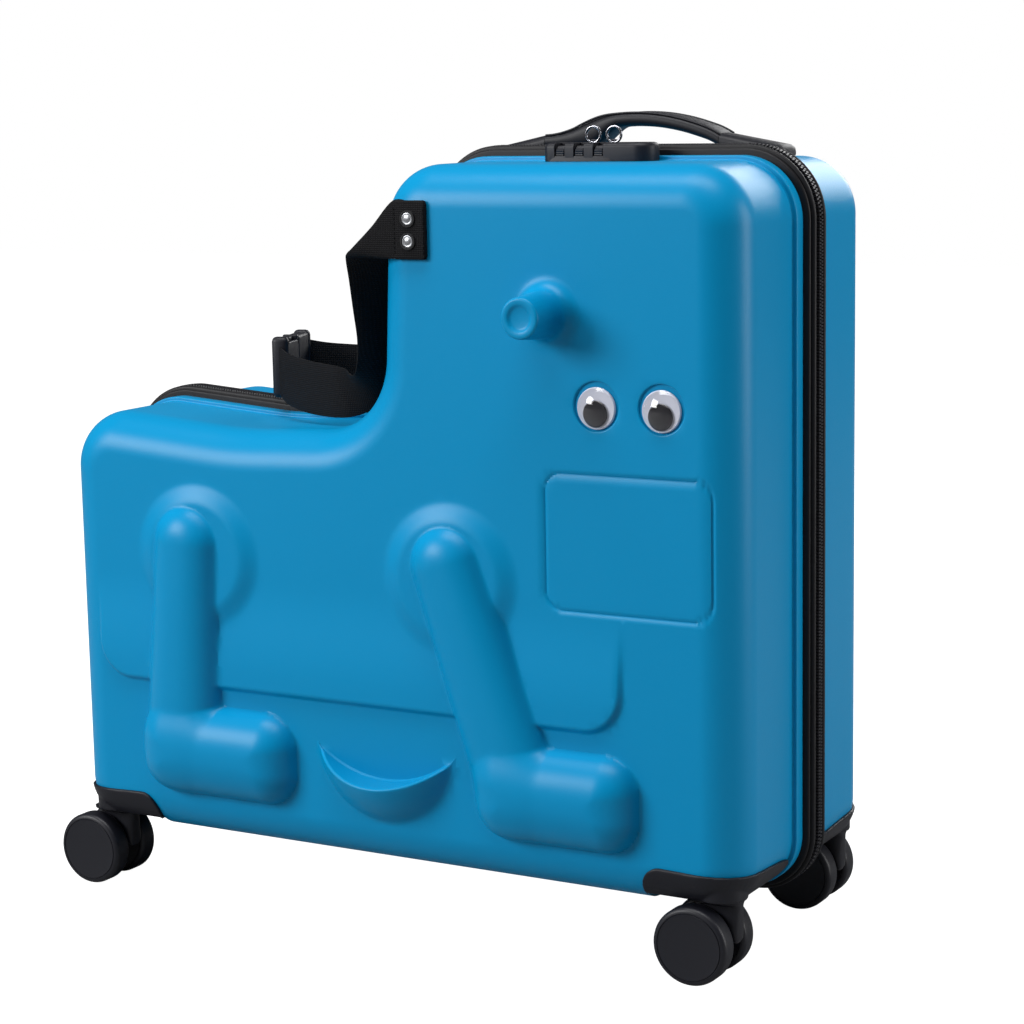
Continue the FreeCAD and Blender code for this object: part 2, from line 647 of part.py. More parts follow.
# Combination lock on the front half's top
lock_x = "(case_length / 2 - lock_back)"
dial_first_x = lock_x + " - dial_first_offset"
key_x = lock_x + " + key_offset"
button_x = lock_x + " + button_offset"
lock_z = top_text + " + lock_height / 2"
lock_block = padded("lock_block", "XY_Plane", [
    ("-lock_length / 2 + lock_corner", "-lock_width / 2"), ("lock_length / 2 - lock_corner", "-lock_width / 2"),
    ("lock_length / 2", "-lock_width / 2 + lock_corner"), ("lock_length / 2", "lock_width / 2 - lock_corner"),
    ("lock_length / 2 - lock_corner", "lock_width / 2"), ("-lock_length / 2 + lock_corner", "lock_width / 2"),
    ("-lock_length / 2", "lock_width / 2 - lock_corner"), ("-lock_length / 2", "-lock_width / 2 + lock_corner"),
], "lock_height", x=lock_x, y="lock_y", z=lock_z)
dial_y = "lock_y - lock_width / 2 + dial_inset"
dial_z = top_text + " + lock_height - dial_inset"
lock_tools = [primitive("Box", "lip_notch", {
    "Length": "lock_length + 2 * overrun", "Width": "lock_width", "Height": "lip_proud + soft_gap + overrun"},
    x=lock_x + " - lock_length / 2 - overrun", y="-band_width / 2 - lip_width - soft_gap",
    z=top_text + " - overrun")]
dial_numbers = (0, 1, 2)
for count in dial_numbers:
    window = "dial_width + 2 * dial_window"
    lock_tools.append(primitive("Box", "window_%d" % count, {
        "Length": window, "Width": "dial_inset + dial_size / 2 + dial_window + overrun",
        "Height": "lock_height + 2 * overrun"},
        x=dial_first_x + " + %d * dial_pitch - (%s) / 2" % (count, window),
        y="lock_y - lock_width / 2 - overrun", z=top_text + " - overrun"))
rod_length = "2 * dial_pitch + dial_width + 2 * dial_inset"
rod_x = dial_first_x + " - dial_width / 2 - dial_inset"
lock_tools.append(primitive("Cylinder", "rod_bore", {"Radius": "rod_size / 2 + rod_fit", "Height": rod_length},
                            x=rod_x, y=dial_y, z=dial_z, axis=Y_AXIS, turn=90))
lock_tools.append(primitive("Cylinder", "key_bore", {
    "Radius": "key_size / 2 + key_fit", "Height": "key_depth + overrun"},
    x=key_x, y="lock_y", z=top_text + " + lock_height - key_depth"))
lock_tools.append(primitive("Box", "button_slot", {
    "Length": "button_length + button_travel + 2 * button_gap", "Width": "button_width + 2 * button_gap",
    "Height": "button_depth + overrun"},
    x=button_x + " - button_length / 2 - button_gap", y="lock_y - button_width / 2 - button_gap",
    z=top_text + " + lock_height - button_depth"))
node(cut("lock_housing", lock_block, lock_tools), "lock_housing")
node(primitive("Cylinder", "dial_rod", {"Radius": "rod_size / 2", "Height": rod_length},
               x=rod_x, y=dial_y, z=dial_z, axis=Y_AXIS, turn=90), "dial_rod")
for count in dial_numbers:
    dial = turned("lock_dial_%d" % (count + 1), [
        ("rod_size / 2 + rod_fit", "-dial_width / 2"), ("dial_size / 2 - dial_window", "-dial_width / 2"),
        ("dial_size / 2", "-dial_width / 2 + dial_window"), ("dial_size / 2", "dial_width / 2 - dial_window"),
        ("dial_size / 2 - dial_window", "dial_width / 2"), ("rod_size / 2 + rod_fit", "dial_width / 2"),
    ], x=dial_first_x + " + %d * dial_pitch" % count, y=dial_y, z=dial_z, turn=90)
    node(dial, "lock_dial_%d" % (count + 1))
key_z = top_text + " + lock_height - key_depth"
plug = primitive("Cylinder", "key_plug", {"Radius": "key_size / 2", "Height": "key_depth + key_proud"},
                 x=key_x, y="lock_y", z=key_z)
key_slot = primitive("Box", "key_slot", {
    "Length": "key_slot_length", "Width": "key_slot", "Height": "key_depth"},
    x=key_x + " - key_slot_length / 2", y="lock_y - key_slot / 2", z=key_z + " + key_depth / 2")
node(cut("key_cylinder", plug, [key_slot]), "key_cylinder")
node(primitive("Box", "release_button", {
    "Length": "button_length", "Width": "button_width", "Height": "button_depth + button_proud"},
    x=button_x + " - button_length / 2", y="lock_y - button_width / 2",
    z=top_text + " + lock_height - button_depth"),
    "release_button")


# Zip sliders with their pull rings
slider_z = "ground_clearance + case_height + teeth_proud + slider_lift"
loop_inside = "ring_wire + 2 * ring_gap"
ring_z = slider_z + " + slider_height + ring_gap + ring_wire / 2"
for end in ("tail", "head"):
    x = "case_length / 2 - slider_%s_back" % end
    base = primitive("Box", "slider_base_" + end, {
        "Length": "slider_length", "Width": "slider_width", "Height": "slider_height"},
        x=x + " - slider_length / 2", y="-slider_width / 2", z=slider_z)
    arch = primitive("Box", "slider_arch_" + end, {
        "Length": "loop_length", "Width": loop_inside + " + 2 * loop_wall",
        "Height": loop_inside + " + loop_wall"},
        x=x + " - loop_length / 2", y="-(%s) / 2 - loop_wall" % loop_inside, z=slider_z + " + slider_height")
    gap = primitive("Box", "slider_gap_" + end, {
        "Length": "loop_length + 2 * overrun", "Width": loop_inside, "Height": loop_inside},
        x=x + " - loop_length / 2 - overrun", y="-(%s) / 2" % loop_inside, z=slider_z + " + slider_height")
    loop = cut("slider_loop_" + end, arch, [gap])
    node(fused("zip_slider_" + end, [base, loop]), "zip_slider_" + end)
    node(primitive("Torus", "pull_ring_" + end, {
        "Radius1": "ring_size / 2 - ring_wire / 2", "Radius2": "ring_wire / 2"},
        x=x, z=ring_z + " + ring_size / 2 - ring_wire / 2", axis=X_AXIS, turn=90), "pull_ring_" + end)


# Lap belt: one strap from a riveted tab on each half to a buckle over the seat
# Shares of the way from the tab to the buckle along X, Y and Z, for the strap's upper and its lower edge
belt_shares = [
    ((0, 0, 0), (0, 0, 0)),
    ((0.1, -0.01, 0.11), (0.06, 0.04, 0.04)),
    ((0.18, 0.01, 0.25), (0.1, 0.13, 0.13)),
    ((0.25, 0.07, 0.39), (0.14, 0.26, 0.24)),
    ((0.27, 0.13, 0.56), (0.17, 0.46, 0.39)),
    ((0.28, 0.15, 0.78), (0.19, 0.57, 0.56)),
    ((0.29, 0.17, 1.01), (0.2, 0.59, 0.73)),
    ((0.31, 0.21, 1.14), (0.23, 0.61, 0.91)),
    ((0.37, 0.33, 1.16), (0.29, 0.59, 1.01)),
    ((0.44, 0.43, 1.12), (0.39, 0.55, 1.09)),
    ((0.52, 0.5, 1.09), (0.5, 0.52, 1.09)),
    ((0.69, 0.59, 1.09), (0.69, 0.59, 1.09)),
    ((0.89, 0.69, 1.07), (0.89, 0.69, 1.07)),
    ((0.97, 0.84, 1.03), (0.97, 0.84, 1.03)),
    ((1, 1, 1), (1, 1, 1)),
]
belt_y = face_y - s.tab_gap - s.belt_thick / 2


def belt_section(upper, lower, along):
    """The four corners of the strap's cross-section between its two edges."""
    across = along.cross(upper - lower).normalize() * (s.belt_thick / 2)
    return [upper + across, upper - across, lower - across, lower + across]


def ruled_solid(sections):
    """A solid through sections of four corners each, with flat facets from each section to the next.

    Both broad sides are cut along the same diagonal, so that they stay apart where the strap twists.
    """
    facets = []
    for end in (sections[0], sections[-1]):
        facets += [(end[0], end[1], end[2]), (end[0], end[2], end[3])]
    for here, there in zip(sections, sections[1:]):
        for low, high in ((0, 1), (1, 2), (3, 2), (0, 3)):
            facets.append((here[low], here[high], there[high]))
            facets.append((here[low], there[high], there[low]))
    faces = [Part.Face(Part.makePolygon([*facet, facet[0]])) for facet in facets]
    skin = Part.makeShell(faces)
    solid = Part.makeSolid(skin)
    return solid if solid.Volume > 0 else solid.reversed()


def near_strap():
    """The near strap: its tab on the face, the turn round the head's edge and the run to the buckle."""
    start = V(tab_x - s.tab_length / 2, belt_y, tab_z)
    span = V(head_foot_x - s.buckle_reach, -s.buckle_length - s.buckle_gap, seat_z + s.buckle_lift) - start
    half = V(0, 0, s.belt_width / 2)

    def at(shares, edge):
        return start + edge + V(span.x * shares[0], span.y * shares[1], span.z * shares[2])

    uppers = [start + half + V(s.tab_length, 0, 0)] + [at(upper, half) for upper, lower in belt_shares]
    lowers = [start - half + V(s.tab_length, 0, 0)] + [at(lower, -half) for upper, lower in belt_shares]
    last = len(uppers) - 1
    sections = []
    for index in range(len(uppers)):
        before, after = max(index - 1, 0), min(index + 1, last)
        along = uppers[after] - uppers[before] + lowers[after] - lowers[before]
        if index == last:
            along = Y_AXIS
        if index <= 1:
            along = -X_AXIS
        sections.append(belt_section(uppers[index], lowers[index], along))
    strap = ruled_solid(sections)
    holes = []
    for z in rivet_heights:
        spot = V(tab_x, belt_y - s.overrun, z)
        holes.append(Part.makeCylinder(s.rivet_size / 2 + s.rivet_fit, 2 * s.overrun, spot, Y_AXIS))
    return strap.cut(holes)


def near_rivets():
    """The two rivets through the near tab and the shell."""
    outside = belt_y - s.belt_thick / 2
    rivets = []
    for z in rivet_heights:
        spot = V(tab_x, outside, z)
        shank = Part.makeCylinder(s.rivet_size / 2, face_y + s.shell_wall - outside, spot, Y_AXIS)
        head = Part.makeCylinder(s.rivet_head / 2, s.rivet_head_thick, spot, -Y_AXIS)
        rivets.append(head.fuse(shank).removeSplitter())
    return Part.makeCompound(rivets)


strap = near_strap()
feature("front_belt_strap", strap)
feature("rear_belt_strap", mirrored(strap))
rivets = near_rivets()
feature("front_rivets", rivets)
feature("rear_rivets", mirrored(rivets))

# Buckle: the socket half on the front strap, the prong half on the rear strap
buckle_sizes = {"Length": "buckle_thick", "Width": "buckle_length - parting_gap / 2", "Height": "buckle_width"}
buckle_x = "case_length / 2 - head_length - head_slant - buckle_reach"
buckle_z = "ground_clearance + seat_front_height + buckle_lift"
buckle_place = {"x": buckle_x + " - buckle_thick / 2", "z": buckle_z + " - buckle_width / 2"}
socket = primitive("Box", "socket_form", buckle_sizes, y="-buckle_length", **buckle_place)
plug_half = primitive("Box", "plug_form", buckle_sizes, y="parting_gap / 2", **buckle_place)
rooms = []
prongs = [plug_half]
for count, way in enumerate(("-", "+")):
    middle = buckle_z + " %s buckle_width / 4" % way
    rooms.append(primitive("Box", "prong_room_%d" % count, {
        "Length": "prong_thick + 2 * prong_room", "Width": "prong_length + prong_room + overrun",
        "Height": "prong_width + 2 * prong_room"},
        x=buckle_x + " - prong_thick / 2 - prong_room", y="-prong_length - prong_room",
        z=middle + " - prong_width / 2 - prong_room"))
    prongs.append(primitive("Box", "prong_%d" % count, {
        "Length": "prong_thick", "Width": "prong_length + parting_gap", "Height": "prong_width"},
        x=buckle_x + " - prong_thick / 2", y="-prong_length", z=middle + " - prong_width / 2"))
node(cut("buckle_socket", socket, rooms), "buckle_socket")
node(fused("buckle_plug", prongs), "buckle_plug")


# Googly eyes: a white plate, a loose dark disc and a clear dome
def near_plates():
    """The white plates in their seats in the face."""
    start = face_y + s.eye_seat_depth
    return Part.makeCompound([
        Part.makeCylinder(s.eye_size / 2, s.eye_plate, V(x, start, eye_z), -Y_AXIS) for x in eyes.values()])


def dome_form(x, thin):
    """A round cover: a short upright rim under a low cap, or its inside."""
    seat = face_y + s.eye_seat_depth - s.eye_plate
    half = s.eye_size / 2 - thin
    rim = seat - s.eye_rim
    crest = rim - s.eye_dome_rise + thin
    radius, sink = swell(half, rim - crest)
    bend = math.asin(half / radius) / 2

    def at(across, y):
        return V(x + across, y, eye_z)

    root = seat + (s.overrun if thin else 0)
    middle = at(radius * math.sin(bend), rim + sink - radius * math.cos(bend))
    edges = [
        Part.LineSegment(at(0, root), at(half, root)).toShape(),
        Part.LineSegment(at(half, root), at(half, rim)).toShape(),
        Part.Arc(at(half, rim), middle, at(0, crest)).toShape(),
        Part.LineSegment(at(0, crest), at(0, root)).toShape(),
    ]
    return Part.Face(Part.Wire(edges)).revolve(V(x, 0, eye_z), Y_AXIS, 360)


def near_domes():
    """The clear domes over the eyes."""
    return Part.makeCompound([dome_form(x, 0).cut(dome_form(x, s.eye_dome_wall)) for x in eyes.values()])


plates = near_plates()
feature("front_eye_plates", plates)
feature("rear_eye_plates", mirrored(plates))
domes = near_domes()
feature("front_eye_domes", domes)
feature("rear_eye_domes", mirrored(domes))
for half, side in halves.items():
    sign = "" if side > 0 else "-"
    for end in eyes:
        y = sign + "(case_depth / 2 - eye_seat_depth + eye_plate + pupil_gap)"
        pupil = turned("%s_%s_pupil" % (half, end), [
            ("0", "0"), ("pupil_size / 2", "0"), ("pupil_size / 2", "pupil_thick"), ("0", "pupil_thick"),
        ], x="case_length / 2 - %s_eye_back" % end, y=y,
            z="ground_clearance + case_height - eye_drop - pupil_drop", turn=0 if side > 0 else 180)
        node(pupil, "%s_%s_pupil" % (half, end))

doc.recompute()
faults = [item.Name for item in doc.Objects if "Invalid" in item.State or "Error" in item.State]
for piece in sub_parts:
    if piece.Shape.isNull() or not piece.Shape.isValid() or not piece.Shape.Solids:
        faults.append(piece.Label)
if faults:
    raise RuntimeError("these pieces failed: " + ", ".join(faults))

os.makedirs("parts", exist_ok=True)
for piece in sub_parts:
    piece.Shape.exportStep("parts/%s.step" % piece.Label)
    print(piece.Label, len(piece.Shape.Solids), round(piece.Shape.Volume, 1))
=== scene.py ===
"""The looks of a ride-on suitcase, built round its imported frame.

Metres. X points to the head of the figure, Y away from its near side and Z up.
"""
import json
import math

import bmesh
import bpy
import numpy as np
from mathutils import Matrix, Vector, kdtree
from mathutils.geometry import delaunay_2d_cdt


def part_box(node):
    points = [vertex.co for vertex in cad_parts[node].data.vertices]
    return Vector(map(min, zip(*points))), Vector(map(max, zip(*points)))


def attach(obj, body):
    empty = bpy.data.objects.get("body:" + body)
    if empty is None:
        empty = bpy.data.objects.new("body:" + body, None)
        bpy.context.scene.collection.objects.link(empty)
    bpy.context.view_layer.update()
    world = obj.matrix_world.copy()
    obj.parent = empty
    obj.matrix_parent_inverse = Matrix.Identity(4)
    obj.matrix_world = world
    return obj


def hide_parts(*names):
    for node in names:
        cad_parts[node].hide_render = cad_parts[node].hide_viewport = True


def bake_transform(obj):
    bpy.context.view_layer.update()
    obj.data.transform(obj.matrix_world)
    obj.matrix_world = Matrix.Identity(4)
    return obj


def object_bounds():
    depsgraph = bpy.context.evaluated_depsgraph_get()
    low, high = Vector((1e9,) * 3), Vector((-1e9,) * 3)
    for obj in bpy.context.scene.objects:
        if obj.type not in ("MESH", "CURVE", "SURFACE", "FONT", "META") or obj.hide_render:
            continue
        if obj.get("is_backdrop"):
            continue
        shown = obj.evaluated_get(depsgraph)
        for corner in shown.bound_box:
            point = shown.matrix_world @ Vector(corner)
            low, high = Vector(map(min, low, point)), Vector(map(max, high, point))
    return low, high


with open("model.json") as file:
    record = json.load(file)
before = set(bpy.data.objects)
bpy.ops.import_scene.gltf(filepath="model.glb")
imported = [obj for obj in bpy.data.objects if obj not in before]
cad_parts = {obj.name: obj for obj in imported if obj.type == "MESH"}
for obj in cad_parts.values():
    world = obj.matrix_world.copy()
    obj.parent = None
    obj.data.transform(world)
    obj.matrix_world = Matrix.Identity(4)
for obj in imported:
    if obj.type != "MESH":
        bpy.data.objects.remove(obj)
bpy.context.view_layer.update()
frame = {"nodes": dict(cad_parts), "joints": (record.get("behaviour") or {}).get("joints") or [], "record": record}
nodes = frame["nodes"]
joints = {joint["name"]: joint for joint in frame["joints"]}
HALVES = {"front": 1, "rear": -1}
ENDS = ("head", "tail")

# Case outline at the lip, from the box of the edging that stands proud of it
CROWN_PROUD = 0.0085
trim_low, trim_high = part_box("front_edge_trim")
TAIL = trim_low.x + CROWN_PROUD
HEAD = trim_high.x - CROWN_PROUD
FLOOR = trim_low.z + CROWN_PROUD
TOP = trim_high.z - CROWN_PROUD
HEAD_BACK, HEAD_FOOT = 0.2595, 0.2515
SEAT_FRONT, SEAT_DIP, SEAT_BACK = 0.2925, 0.2875, 0.2985
SEAT_DIP_BACK = 0.1425
BOTTOM_RADIUS, HEAD_RADIUS, SEAT_BACK_RADIUS = 0.034, 0.040, 0.042
SEAT_FRONT_RADIUS, SEAT_DIP_RADIUS = 0.048, 0.325
CORNERS = [
    (TAIL, FLOOR, BOTTOM_RADIUS),
    (HEAD, FLOOR, BOTTOM_RADIUS),
    (HEAD, TOP, HEAD_RADIUS),
    (TAIL + HEAD_BACK, TOP, HEAD_RADIUS),
    (TAIL + HEAD_FOOT, FLOOR + SEAT_FRONT, SEAT_FRONT_RADIUS),
    (TAIL + SEAT_DIP_BACK, FLOOR + SEAT_DIP, SEAT_DIP_RADIUS),
    (TAIL, FLOOR + SEAT_BACK, SEAT_BACK_RADIUS),
]
OUTLINE_STEP = 0.0026
ARC_STEP = math.radians(4)

# Half shells
PANEL_DEPTH = 0.0012
label = next(mount for mount in frame["record"]["mounts"] if mount["name"] == "label_panel")
FACE_Y = label["pos_m"][1] - PANEL_DEPTH
MOUTH_Y = trim_low.y
WALL = 0.0026
FACE_RADIUS = 0.027
LIP_PROUD, LIP_WIDTH, LIP_ROUND = 0.003, 0.010, 0.0009
FLAT_INSET = LIP_PROUD + FACE_RADIUS


# Meshes

def srgb(red, green, blue):
    """A colour given as 0 to 255, as the shader wants it."""
    shares = [channel / 255 for channel in (red, green, blue)]
    return [c / 12.92 if c <= 0.04045 else ((c + 0.055) / 1.055) ** 2.4 for c in shares]


def unit(vector):
    return vector / np.linalg.norm(vector)


def centre_of(node):
    """The middle of a node's box."""
    low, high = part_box(node)
    return (np.array(low, float) + np.array(high, float)) / 2


def grid_faces(rows, columns, wrap_rows=False, wrap_columns=True):
    """Quads of a grid of vertices, written row by row."""
    faces = []
    for row in range(rows if wrap_rows else rows - 1):
        for column in range(columns if wrap_columns else columns - 1):
            here, there = row * columns, (row + 1) % rows * columns
            after = (column + 1) % columns
            faces.append((here + column, here + after, there + after, there + column))
    return faces


class Form:
    """Vertices and faces, gathered bit by bit."""

    def __init__(self):
        self.verts = []
        self.faces = []

    def add(self, verts, faces):
        base = len(self.verts)
        self.verts.extend(tuple(map(float, vert)) for vert in verts)
        self.faces.extend(tuple(base + index for index in face) for face in faces)
        return self

    def rings(self, rings, wrap=False, closed=True, caps=False):
        """Joins rings of equally many points; caps close the first and the last."""
        count = len(rings[0])
        faces = grid_faces(len(rings), count, wrap, closed)
        if caps:
            last = (len(rings) - 1) * count
            faces.append(tuple(range(count)))
            faces.append(tuple(range(last, last + count)))
        return self.add(np.concatenate(rings), faces)

    def box(self, low, high):
        corners = [(x, y, z) for x in (low[0], high[0]) for y in (low[1], high[1]) for z in (low[2], high[2])]
        faces = [(0, 1, 3, 2), (4, 5, 7, 6), (0, 1, 5, 4), (2, 3, 7, 6), (0, 2, 6, 4), (1, 3, 7, 5)]
        return self.add(corners, faces)

    def mirrored(self):
        """The same form on the far side of the parting plane."""
        other = Form()
        other.verts = [(x, -y, z) for x, y, z in self.verts]
        other.faces = [face[::-1] for face in self.faces]
        return other

    def on(self, half):
        return self if half == "front" else self.mirrored()


MERGE, THIN = 1e-6, 1e-7


def mesh_of(name, form, thin=MERGE, split=False):
    """The mesh of a form with its doubled points joined; split cuts its large faces into triangles."""
    mesh = bpy.data.meshes.new(name)
    mesh.from_pydata(form.verts, [], form.faces)
    work = bmesh.new()
    work.from_mesh(mesh)
    bmesh.ops.remove_doubles(work, verts=work.verts, dist=MERGE)
    bmesh.ops.dissolve_degenerate(work, edges=work.edges, dist=thin)
    if split:
        bmesh.ops.triangulate(work, faces=[face for face in work.faces if len(face.verts) > 4])
    bmesh.ops.recalc_face_normals(work, faces=work.faces)
    work.to_mesh(mesh)
    work.free()
    return mesh


def linked(name, data):
    """A new object in the scene."""
    made = bpy.data.objects.new(name, data)
    bpy.context.scene.collection.objects.link(made)
    return made


def piece(name, form, material, body, replaces=(), sharp=None):
    """A form's mesh that rides on a body and stands for some of the frame's nodes."""
    return dressed(name, mesh_of(name, form), material, body, replaces, sharp)


def dressed(name, mesh, material, body, replaces=(), sharp=None):
    """An object for a mesh, with its finish, its body and the nodes that it stands for."""
    made = linked(name, mesh)
    mesh.materials.clear()
    mesh.materials.append(material)
    mesh.shade_smooth()
    if sharp is not None:
        mesh.set_sharp_from_angle(angle=math.radians(sharp))
    if body is not None:
        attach(made, body)
    if replaces:
        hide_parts(*replaces)
    return made


def baked(made):
    """Turns an object's modifiers into its mesh."""
    graph = bpy.context.evaluated_depsgraph_get()
    mesh = bpy.data.meshes.new_from_object(made.evaluated_get(graph))
    made.modifiers.clear()
    old = made.data
    made.data = mesh
    bpy.data.meshes.remove(old)
    return made


def lathe(profile, centre, axis, steps=64):
    """Rings of a profile of (radius, along), turned about an axis through a centre."""
    axis = unit(np.array(axis, float))
    side = unit(np.cross(axis, (0, 0, 1) if abs(axis[2]) < 0.9 else (1, 0, 0)))
    up = np.cross(axis, side)
    turn = np.arange(steps) / steps * math.tau
    spokes = np.outer(np.cos(turn), side) + np.outer(np.sin(turn), up)
    return [np.array(centre, float) + along * axis + radius * spokes for radius, along in profile]


def turned(profile, centre, steps=64):
    """A form turned about a level line that points to the near side."""
    return Form().rings(lathe(profile, centre, (0, -1, 0), steps))


def pillar(radius, low, high, place, steps=96):
    """A standing cylinder about a place of X and Y."""
    return Form().rings(lathe([(radius, low), (radius, high)], (*place, 0), (0, 0, 1), steps), caps=True)


def squircle(power, steps):
    """Points between a circle and a square, as a row of shares for each of two ways."""
    turns = np.arange(steps) / steps * math.tau
    return [np.sign(wave) * np.abs(wave) ** (2 / power) for wave in (np.cos(turns), np.sin(turns))]


def arc(centre, radius, start, end, steps):
    """Points of a circular arc in the plane of a profile, from one angle in degrees to another."""
    turns = np.radians(np.linspace(start, end, steps + 1))
    return [(centre[0] + radius * math.cos(t), centre[1] + radius * math.sin(t)) for t in turns]


# Outline of the case

def case_outline():
    """Points along the lip's outline and their outward normals: round corners and straight sides."""
    spots = np.array([corner[:2] for corner in CORNERS])
    count = len(spots)
    arcs = []
    for index, (x, z, radius) in enumerate(CORNERS):
        to_before = unit(spots[index - 1] - spots[index])
        to_after = unit(spots[(index + 1) % count] - spots[index])
        half = math.acos(float(to_before @ to_after)) / 2
        reach = radius / math.tan(half)
        centre = spots[index] + unit(to_before + to_after) * radius / math.sin(half)
        way = 1 if to_after[0] * to_before[1] - to_after[1] * to_before[0] > 0 else -1
        arcs.append((spots[index] + to_before * reach, spots[index] + to_after * reach, centre, radius, way))
    points, normals = [], []
    for index, (start, end, centre, radius, way) in enumerate(arcs):
        first, last = start - centre, end - centre
        sweep = math.atan2(first[0] * last[1] - first[1] * last[0], first @ last)
        steps = max(math.ceil(abs(sweep) * radius / OUTLINE_STEP), math.ceil(abs(sweep) / ARC_STEP))
        for step in range(steps + 1):
            turn = math.atan2(first[1], first[0]) + sweep * step / steps
            ray = np.array([math.cos(turn), math.sin(turn)])
            points.append(centre + radius * ray)
            normals.append(way * ray)
        following = arcs[(index + 1) % count][0]
        run = following - end
        steps = math.ceil(np.linalg.norm(run) / OUTLINE_STEP)
        for step in range(1, steps):
            points.append(end + run * step / steps)
            normals.append(unit(np.array([run[1], -run[0]])))
    return np.array(points), np.array(normals)


OUTLINE, OUTWARD = case_outline()


def ring(y, out):
    """The outline at one place along Y, moved outwards."""
    moved = OUTLINE + out * OUTWARD
    return np.column_stack((moved[:, 0], np.full(len(moved), y), moved[:, 1]))


def swept(profile):
    """Rings along the case for a profile of places along Y and distances outwards from the lip."""
    return [ring(y, out) for y, out in profile]


# Relief of the face: heights in front of it, by place along X and height

def smoothstep(share):
    share = np.clip(share, 0, 1)
    return share * share * (3 - 2 * share)


def soft_max(first, second, blend):
    """The higher of two forms, with a round joint where they meet."""
    near = np.maximum(blend - np.abs(first - second), 0) / blend
    return np.maximum(first, second) + near * near * blend / 4


def bar_depth(x, z, start, end):
    """How far inside a round-ended bar a place is; each end is an X, a Z and a half width."""
    run_x, run_z = end[0] - start[0], end[1] - start[1]
    share = np.clip(((x - start[0]) * run_x + (z - start[1]) * run_z) / (run_x ** 2 + run_z ** 2), 0, 1)
    half = start[2] + share * (end[2] - start[2])
    return half - np.hypot(x - start[0] - share * run_x, z - start[1] - share * run_z), half


def plate_depth(x, z, low, high, radius):
    """How far inside a rectangle with round corners a place is."""
    over_x = np.abs(x - (low[0] + high[0]) / 2) - (high[0] - low[0]) / 2 + radius
    over_z = np.abs(z - (low[1] + high[1]) / 2) - (high[1] - low[1]) / 2 + radius
    outside = np.hypot(np.maximum(over_x, 0), np.maximum(over_z, 0))
    return radius - outside - np.minimum(np.maximum(over_x, over_z), 0)


SWELL_POWER, SWELL_ROUND, SKIRT = 2.3, 0.6, 2.0


def swell(depth, width, rise):
    """A moulded form that rises steeply from its edge and rounds off over its width."""
    left = 1 - np.clip(depth / width, 0, 1)
    return np.where(depth > 0, rise * (1 - left ** SWELL_POWER) ** SWELL_ROUND, SKIRT * depth)


LEG_TOP_HALF, LEG_LOW_HALF, LEG_RISE = 0.0255, 0.030, 0.0165
FOOT_HALF, FOOT_RISE, FOOT_CORNER = 0.031, 0.0205, 0.024
FOOT_Z, HIP_Z = 0.108, 0.2505
LIMBS = [(-0.150, -0.160, -0.099), (0.053, 0.103, 0.156)]
HAUNCHES = [(-0.143, 0.242), (0.054, 0.242)]
HAUNCH_HALF, HAUNCH_EDGE, HAUNCH_RISE = 0.051, 0.017, 0.0046
BELLY_LOW, BELLY_HIGH = (-0.230, 0.151), (0.177, 0.360)
BELLY_RADIUS, BELLY_EDGE, BELLY_RISE = 0.028, 0.0042, 0.0036
BELLY_FADE = (0.165, 0.226)
PANEL_LOW, PANEL_HIGH, PANEL_RADIUS = (0.122, 0.227), (0.2385, 0.316), 0.013
PANEL_GROOVE, PANEL_FIELD_SHARE = 0.0017, 0.3
HAUNCH_LOSS_SHARE = 0.5
LIMB_BLEND, ROOT_BLEND = 0.010, 0.0035


def relief(x, z):
    """Height of the moulded figure in front of the face."""
    belly = plate_depth(x, z, BELLY_LOW, BELLY_HIGH, BELLY_RADIUS)
    fade = 1 - smoothstep((z - BELLY_FADE[0]) / (BELLY_FADE[1] - BELLY_FADE[0]))
    ground = BELLY_RISE * fade * smoothstep(belly / BELLY_EDGE)
    for haunch_x, haunch_z in HAUNCHES:
        depth = HAUNCH_HALF - np.hypot(x - haunch_x, z - haunch_z)
        haunch = HAUNCH_RISE * smoothstep(depth / HAUNCH_EDGE)
        ground = ground + haunch * (1 - ground / BELLY_RISE * HAUNCH_LOSS_SHARE)
    height = ground
    for hip_x, heel_x, toe_x in LIMBS:
        depth, half = bar_depth(x, z, (hip_x, HIP_Z, LEG_TOP_HALF), (heel_x, FOOT_Z, LEG_LOW_HALF))
        leg = swell(depth, half, LEG_RISE)
        sole = (heel_x - FOOT_HALF, FOOT_Z - FOOT_HALF)
        instep = (toe_x + FOOT_HALF, FOOT_Z + FOOT_HALF)
        depth = plate_depth(x, z, sole, instep, FOOT_CORNER)
        foot = swell(depth, FOOT_HALF, FOOT_RISE)
        height = soft_max(height, soft_max(leg, foot, LIMB_BLEND), ROOT_BLEND)
    panel = plate_depth(x, z, PANEL_LOW, PANEL_HIGH, PANEL_RADIUS)
    groove = PANEL_DEPTH * (1 - smoothstep(np.abs(panel - PANEL_GROOVE) / PANEL_GROOVE))
    field = PANEL_DEPTH * PANEL_FIELD_SHARE * smoothstep(panel / PANEL_GROOVE)
    return height - np.maximum(groove, field)


# Round patches of the face: a loop that the face leaves free and what fills it

KNOB_X, KNOB_Z = 0.127, 0.412
KNOB_WAIST, KNOB_END, KNOB_LENGTH, KNOB_FLARE = 0.0147, 0.0128, 0.035, 0.0095
KNOB_ROUND, KNOB_RIM, KNOB_DISH = 0.0018, 0.0022, 0.0016
EYE_SEAT, EYE_SEAT_DEPTH, EYE_ROUND, EYE_SEAT_RISE = 0.0152, 0.0016, 0.0011, 0.0012


